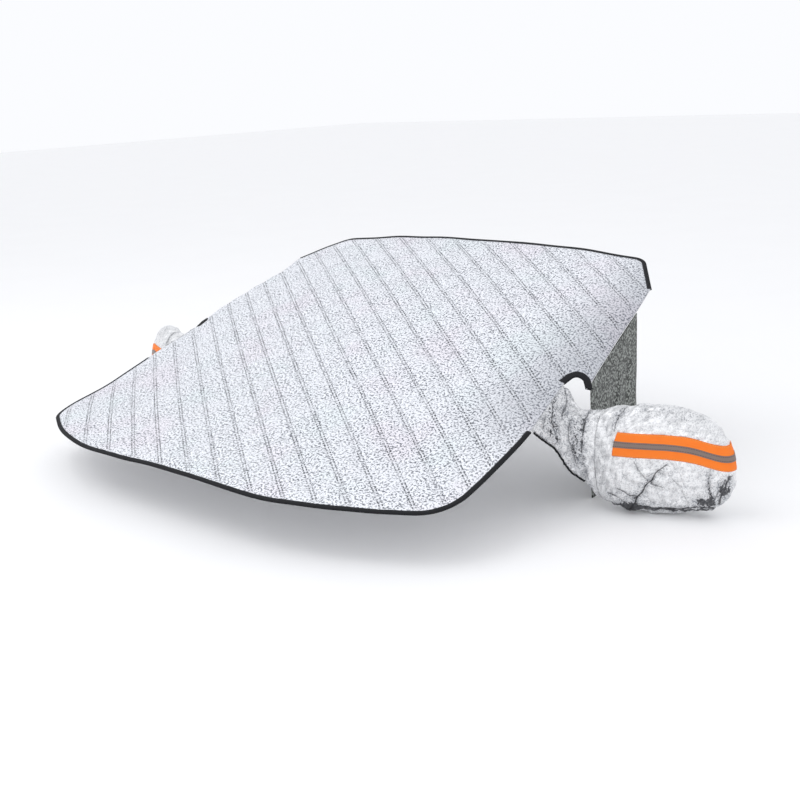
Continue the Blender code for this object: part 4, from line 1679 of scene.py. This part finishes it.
@dataclass
class MirrorNeck:
    """The crinkled cloth between the sheet's seam and the front half of a mirror cover's mouth."""

    form: CoverForm
    side: Side
    rows: int = 120
    columns: int = 120
    reach: float = math.radians(82.0)
    sag: float = 0.024
    margin: float = 0.008
    departure: float = 0.060
    cloth: float = 0.0022
    fold_depth: float = 0.009
    fold_count: float = 2.4
    fold_slant: float = 0.35
    hem_radius: float = 0.0022
    hem_drop: float = 0.0036
    hem_twists: int = 26
    seam_gap: float = 0.0008
    painted_shade_most: float = 0.53
    chart_width: float = 0.200
    folds: tuple[Fold, ...] = field(
        default=(
            Fold(((0.004, 0.119), (0.029, 0.074), (0.0645, 0.026)), 0.0070, 0.0060, spread=1.4),
            Fold(((0.018, 0.058), (0.030, 0.030)), 0.0024, 0.0090, 0.50),
            Fold(
                ((0.011, 0.171), (0.028, 0.156), (0.052, 0.137), (0.057, 0.094)),
                0.0056,
                0.0070,
                0.60,
                spread=1.2,
            ),
            Fold(
                ((0.1335, 0.156), (0.134, 0.137), (0.130, 0.109), (0.133, 0.080)),
                0.0100,
                0.0090,
                spread=2.2,
            ),
            Fold(((0.092, 0.120), (0.0975, 0.090), (0.110, 0.066), (0.122, 0.042)), 0.0044, 0.0110, 0.65),
            Fold(((0.150, 0.060), (0.170, 0.020)), 0.0024, 0.0060, 0.30),
        )
    )

    def _surface(self, share: Array, v: Array) -> tuple[Array, Array, Array]:
        """Points of the right neck, the painted shade of each and the mark of its nearest fold.

        Each row is a cubic that leaves the seam in line with the sheet and meets the mouth square on,
        with the deeper folds of the solid, the named folds and two scales of crumple on it.

        Args:
            share: places up the neck, 0 at its lower hem and 1 at its upper edge.
            v: places out from the seam, 0 to 1.

        Returns:
            An array of rows, columns and x, y, z, the painted shade of each point, and the folds' marks.
        """
        sheet = self.form.sheet
        pattern = sheet.pattern
        margin = self.margin / pattern.seam_length
        foot, top = pattern.seam_foot, pattern.seam_top
        seam = foot + (margin + (1.0 - 2.0 * margin) * share)[:, None] * (top - foot)
        outward = np.array([math.cos(pattern.seam_lean), math.sin(pattern.seam_lean)])
        start = sheet.carry(seam + self.seam_gap * outward, -sheet.thickness / 2)
        leave = sheet.carry(seam + self.departure * outward, -sheet.thickness / 2) - start
        end, _ = self.form.body(self.form.mouth_direction(self.reach * (2.0 * share - 1.0)))
        end -= 0.5 * self.form.cloth * unit(end * np.array([0.0, 1.0, 1.0]))
        end = self.form.set(end)
        end[:, 0] -= self.seam_gap
        w = v[:, None, None]
        arrive = np.array([self.departure, 0.0, 0.0])
        points = (1.0 + 2.0 * w) * (1.0 - w) ** 2 * start + w * (1.0 - w) ** 2 * leave
        points = points + w**2 * (3.0 - 2.0 * w) * end - w**2 * (1.0 - w) * arrive
        bay = np.sin(math.pi * v)[:, None] ** 2
        points[..., 2] -= self.sag * bay * share**2
        folds = np.sin(2.0 * math.pi * (self.fold_count * v[:, None] + self.fold_slant * share)) * bay
        points[..., 1] -= self.fold_depth * folds
        normal = unit(np.cross(np.gradient(points, axis=0), np.gradient(points, axis=1)))
        shape = points.shape[:2]
        out = np.broadcast_to(self.chart_width * v[:, None], shape)
        chart = np.stack([out, np.broadcast_to(share * pattern.seam_length, shape)], -1).reshape(-1, 2)
        flat = points.reshape(-1, 3)
        height, mark, shade = folded(self.folds, chart)
        height += Crumple(5, 0.050, 0.0022, 3, 5).height(flat) + Crumple(7, 0.020, 0.0009, 2, 6).height(flat)
        held = smooth_step(np.minimum(v, 1.0 - v) / 0.10)[:, None]
        hem = smooth_step(share / 0.08)[None, :]
        shown = (held * (0.3 + 0.7 * hem)).reshape(-1, 1)
        points = flat + shown * height[:, None] * normal.reshape(-1, 3)
        # Painted shade: darker towards the lower hem and the seam and round the named folds, with a cap
        lower = 0.46 * np.exp(-share / 0.10)[None, :] * np.ones(shape)
        painted_shade = np.maximum(lower, 0.06 + 0.14 * np.exp(-v / 0.3)[:, None]).reshape(-1)
        painted_shade = np.clip(painted_shade + 0.46 * shade, 0.0, self.painted_shade_most)
        return points.reshape(*shape, 3), painted_shade, mark

    def build_cloth(self, material: bpy.types.Material) -> bpy.types.Object:
        """The neck's cloth, on a grid from the seam to the mouth.

        Args:
            material: the cloth's finish.

        Returns:
            The neck's cloth.
        """
        share = np.linspace(0.0, 1.0, self.columns)
        v = np.linspace(0.0, 1.0, self.rows)
        points, painted_shade, mark = self._surface(share, v)
        faces = grid_faces(self.rows, self.columns)[:, :: -self.side.value]
        full = "mirror_neck_" + self.side.hand
        mesh = surface_mesh(full + "_cloth", self.side.turn(points.reshape(-1, 3)), faces)
        # The attribute crease carries the painted shade
        add_attribute(mesh, "crease", painted_shade)
        add_attribute(mesh, "fold", mark)
        piece = make_piece(full + "_cloth", mesh, [material])
        thicken(piece, self.cloth, 0.0)
        register(piece, full)
        return piece

    def build_hem(self, material: bpy.types.Material) -> bpy.types.Object:
        """The dark rolled hem under the neck: a small circle carried along its lower edge.

        Args:
            material: the hem's finish.

        Returns:
            The hem.
        """
        v = np.linspace(0.06, 0.94, 150)
        points, _, _ = self._surface(np.array([0.0, 0.03]), v)
        edge = points[:, 0]
        run = unit(np.gradient(edge, axis=0))
        down = edge - points[:, 1]
        down = unit(down - (down * run).sum(1, keepdims=True) * run)
        centre = edge + self.hem_drop * down
        side = np.cross(run, down)
        turn = np.linspace(0.0, 2 * math.pi, 12, endpoint=False)
        taper = np.sqrt(np.clip(np.minimum(v - 0.058, 0.942 - v) / 0.01, 0.0, 1.0))
        twist = 1.0 + 0.10 * np.sin(2 * math.pi * v * self.hem_twists)
        ring = circles(centre, self.hem_radius * taper * twist, turn, down, side)
        flip = self.side.value
        full = "neck_hem_" + self.side.hand
        body = grid_faces(len(v), len(turn), wrap=True)[:, ::flip].tolist()
        first = list(range(len(turn)))[:: -flip]
        last = [(len(v) - 1) * len(turn) + number for number in range(len(turn))][::flip]
        mesh = bpy.data.meshes.new(full + "_roll")
        mesh.from_pydata(self.side.turn(ring.reshape(-1, 3)).tolist(), [], body + [first, last])
        mesh.shade_smooth()
        way = np.broadcast_to(v[:, None] * 0.16, (len(v), len(turn)))
        around = np.broadcast_to(turn * self.hem_radius, (len(v), len(turn)))
        add_attribute(mesh, "tape", np.stack([way, around, 0 * way], -1).reshape(-1, 3))
        piece = make_piece(full + "_roll", mesh, [material])
        register(piece, full)
        return piece


@dataclass
class DoorFlap:
    """The thin flap that hangs from the sheet's side edge, rippled a little below its turn."""

    sheet: DrapedSheet
    side: Side
    start: float = 0.020
    length: float = 0.290
    thickness: float = 0.0022
    seam_drop: float = 0.0018
    turn: float = 0.030
    hem_level: float = 0.0012
    ripple_onset: float = 0.12
    broad_ripple: tuple[float, float] = (0.0022, 0.083)
    fine_ripple: tuple[float, float] = (0.0010, 0.037)

    def build(self, material: bpy.types.Material) -> bpy.types.Object:
        """The flap: a grid from its seam down to its hem, with ripples that grow downward.

        Args:
            material: the cloth's finish.

        Returns:
            The flap.
        """
        pattern = self.sheet.pattern
        run = (pattern.side_top - pattern.side_base) / pattern.side_length
        outward = np.array([run[1], -run[0]])
        along = np.linspace(0.0, 1.0, 110)[:, None]
        line = pattern.side_base + (self.start + self.length * along) * run + self.seam_drop * outward
        seam = self.sheet.carry(line, -self.sheet.thickness / 2)
        flat = seam[0] + along * (seam[-1] - seam[0])
        knee = flat.copy()
        knee[:, 2] = np.minimum(flat[:, 2], seam[:, 2]) - self.turn
        hem = flat.copy()
        hem[:, 2] = self.hem_level
        low = np.linspace(0.0, 1.0, 90)[:, None, None]
        high = np.linspace(0.0, 1.0, 16)[1:, None, None]
        points = np.concatenate([hem + low * (knee - hem), knee + high * (seam - knee)])
        normal = unit(np.cross(knee[-1] - knee[0], np.array([0.0, 0.0, 1.0])))
        z = points[..., 2]
        way = along[:, 0] * self.length
        depth, length = self.broad_ripple
        ripple = depth * np.sin(2 * math.pi * (way / length + 0.7 * z))
        depth, length = self.fine_ripple
        ripple += depth * np.sin(2 * math.pi * (way / length - 1.9 * z / 0.3))
        ripple *= smooth_step((knee[:, 2] - z) / self.ripple_onset)
        flatten = smooth_step((z - 0.001) / 0.02)
        points = points + (ripple * (0.4 + 0.6 * flatten))[..., None] * normal
        faces = grid_faces(*z.shape)[:, :: -self.side.value]
        full = "door_flap_" + self.side.hand
        mesh = surface_mesh(full + "_cloth", self.side.turn(points.reshape(-1, 3)), faces)
        piece = make_piece(full + "_cloth", mesh, [material])
        thicken(piece, self.thickness, 0.0)
        register(piece, full)
        return piece


@dataclass(frozen=True)
class Studio:
    """A plain pale floor, soft lights and the camera."""

    azimuth: float = math.radians(44.12)
    pitch: float = math.radians(14.43)
    roll: float = math.radians(-2.99)
    focal: float = 1228.43
    image: float = 800.0
    place: tuple[float, float, float] = (2.1567, -1.4668, 0.7806)
    floor_size: float = 40.0

    def build_camera(self, hem: Array) -> None:
        """The camera, from its azimuth, pitch, roll and place; the focal length is in pixels of the image.

        Args:
            hem: the middle of the sheet's front hem, from which the place is measured.
        """
        az, pitch, roll = self.azimuth, self.pitch, self.roll
        ahead = np.array([-math.sin(az) * math.cos(pitch), math.cos(az) * math.cos(pitch), -math.sin(pitch)])
        level = np.array([math.cos(az), math.sin(az), 0.0])
        above = np.cross(level, ahead)
        right = level * math.cos(roll) + above * math.sin(roll)
        up = -level * math.sin(roll) + above * math.cos(roll)
        camera = bpy.data.cameras.new("camera")
        camera.sensor_width = 36.0
        camera.sensor_fit = "HORIZONTAL"
        camera.lens = self.focal / self.image * camera.sensor_width
        camera.clip_end = 100.0
        obj = bpy.data.objects.new("camera", camera)
        bpy.context.scene.collection.objects.link(obj)
        rotation = Matrix(np.stack([right, up, -ahead], -1).tolist()).to_4x4()
        obj.matrix_world = Matrix.Translation((np.array(self.place) + hem).tolist()) @ rotation
        bpy.context.scene.camera = obj

    def build_floor(self) -> None:
        """The floor: one large pale square just under the cover."""
        half = self.floor_size / 2
        corners = np.array([[-half, -half, 0.0], [half, -half, 0.0], [half, half, 0.0], [-half, half, 0.0]])
        mesh = surface_mesh("floor", corners - np.array([0.0, 0.0, 0.0005]), np.array([[0, 1, 2, 3]]))
        graph = Graph("pale_floor")
        soft = graph.noise(graph.place(), 3.0, 1.0)
        colour = graph.mix(soft, (0.93, 0.93, 0.935), (0.95, 0.95, 0.955))
        floor = make_piece("floor", mesh, [graph.close(Base_Color=colour, Roughness=0.85)])

    @staticmethod
    def _softbox(
        name: str,
        size: float,
        power: float,
        place: Sequence[float],
        target: Sequence[float],
    ) -> None:
        """A square light that faces a target.

        Args:
            name: the light's name.
            size: its side in metres.
            power: its power in watts.
            place: where it stands.
            target: the point that it faces.
        """
        light = bpy.data.lights.new(name, "AREA")
        light.size = size
        light.energy = power
        obj = bpy.data.objects.new(name, light)
        bpy.context.scene.collection.objects.link(obj)
        away = unit(np.array(place) - np.array(target))
        side = unit(np.cross([0.0, 0.0, 1.0], away))
        rotation = Matrix(np.stack([side, np.cross(away, side), away], -1).tolist()).to_4x4()
        obj.matrix_world = Matrix.Translation(place) @ rotation

    def build_lights(self) -> None:
        """An overhead key, a front fill and the white surround."""
        self._softbox("key", 2.6, 30.0, (-1.0, -1.6, 3.4), (0.0, 0.0, 0.2))
        self._softbox("fill", 1.6, 9.0, (3.2, -2.4, 1.2), (0.5, 0.0, 0.1))
        world = bpy.data.worlds.new("surround")
        world.use_nodes = True
        background = world.node_tree.nodes["Background"]
        background.inputs["Color"].default_value = (0.965, 0.975, 1.0, 1.0)
        background.inputs["Strength"].default_value = 1.0
        bpy.context.scene.world = world
        bpy.context.scene.view_settings.view_transform = "Standard"


def declare_cloth(pieces: dict[str, bpy.types.Object], pattern: FlatPattern) -> None:
    """Gather the binding pieces and the sheet's outline; nothing is done with them.

    Args:
        pieces: the pieces by name.
        pattern: the sheet's cut.
    """
    trims = [piece for name, piece in pieces.items() if "binding" in name]
    loop = pattern.loop(0.01)


def main() -> None:
    """Build every piece of the cover and the studio round it."""
    logging.basicConfig(level=logging.INFO, format="%(message)s")
    pattern = FlatPattern()
    sheet = DrapedSheet(pattern)
    form = CoverForm(sheet)
    studio = Studio()
    studio.build_camera(sheet.base())
    studio.build_floor()
    studio.build_lights()
    binding = WovenTape(
        "black_binding",
        colour=(0.014, 0.015, 0.018),
        shade=(0.004, 0.004, 0.005),
        thread=(0.04, 0.04, 0.045),
    ).material()
    elastic = WovenTape(
        "black_elastic",
        colour=(0.06, 0.06, 0.06),
        shade=(0.015, 0.015, 0.015),
        thread=(0.03, 0.03, 0.03),
    ).material()
    orange = WovenTape(
        "orange_tape",
        colour=(1.0, 0.26, 0.03),
        shade=(0.86, 0.16, 0.015),
        thread=(1.0, 0.42, 0.12),
        roughness=0.6,
    ).material()
    grey = WovenTape(
        "grey_reflector",
        colour=(0.30, 0.235, 0.21),
        shade=(0.16, 0.115, 0.10),
        thread=(0.05, 0.045, 0.04),
        roughness=0.4,
    ).material()
    crinkled = CrinkledFoil().material()
    flap = FlapFoil().material()
    pieces = {"quilted_sheet": QuiltedPanel(sheet).build(QuiltedFoil(pattern))}
    for piece in EdgeBindings(sheet).build(binding):
        pieces[piece.name] = piece
    for side in Side:
        cover = MirrorCover(form, side)
        neck = MirrorNeck(form, side)
        hand = side.hand
        pieces["mirror_cover_" + hand] = cover.build_shell(crinkled)
        pieces["hi_vis_tape_" + hand] = cover.build_band(
            "hi_vis_tape", cover.tape_width, 0.0010, orange
        )
        pieces["reflective_strip_" + hand] = cover.build_band(
            "reflective_strip", cover.strip_width, 0.0018, grey
        )
        pieces["mouth_elastic_" + hand] = cover.build_elastic(elastic)
        pieces["mirror_neck_" + hand] = neck.build_cloth(crinkled)
        pieces["neck_hem_" + hand] = neck.build_hem(binding)
        pieces["door_flap_" + hand] = DoorFlap(sheet, side).build(flap)
    declare_cloth(pieces, pattern)


if __name__ == "__main__":
    main()
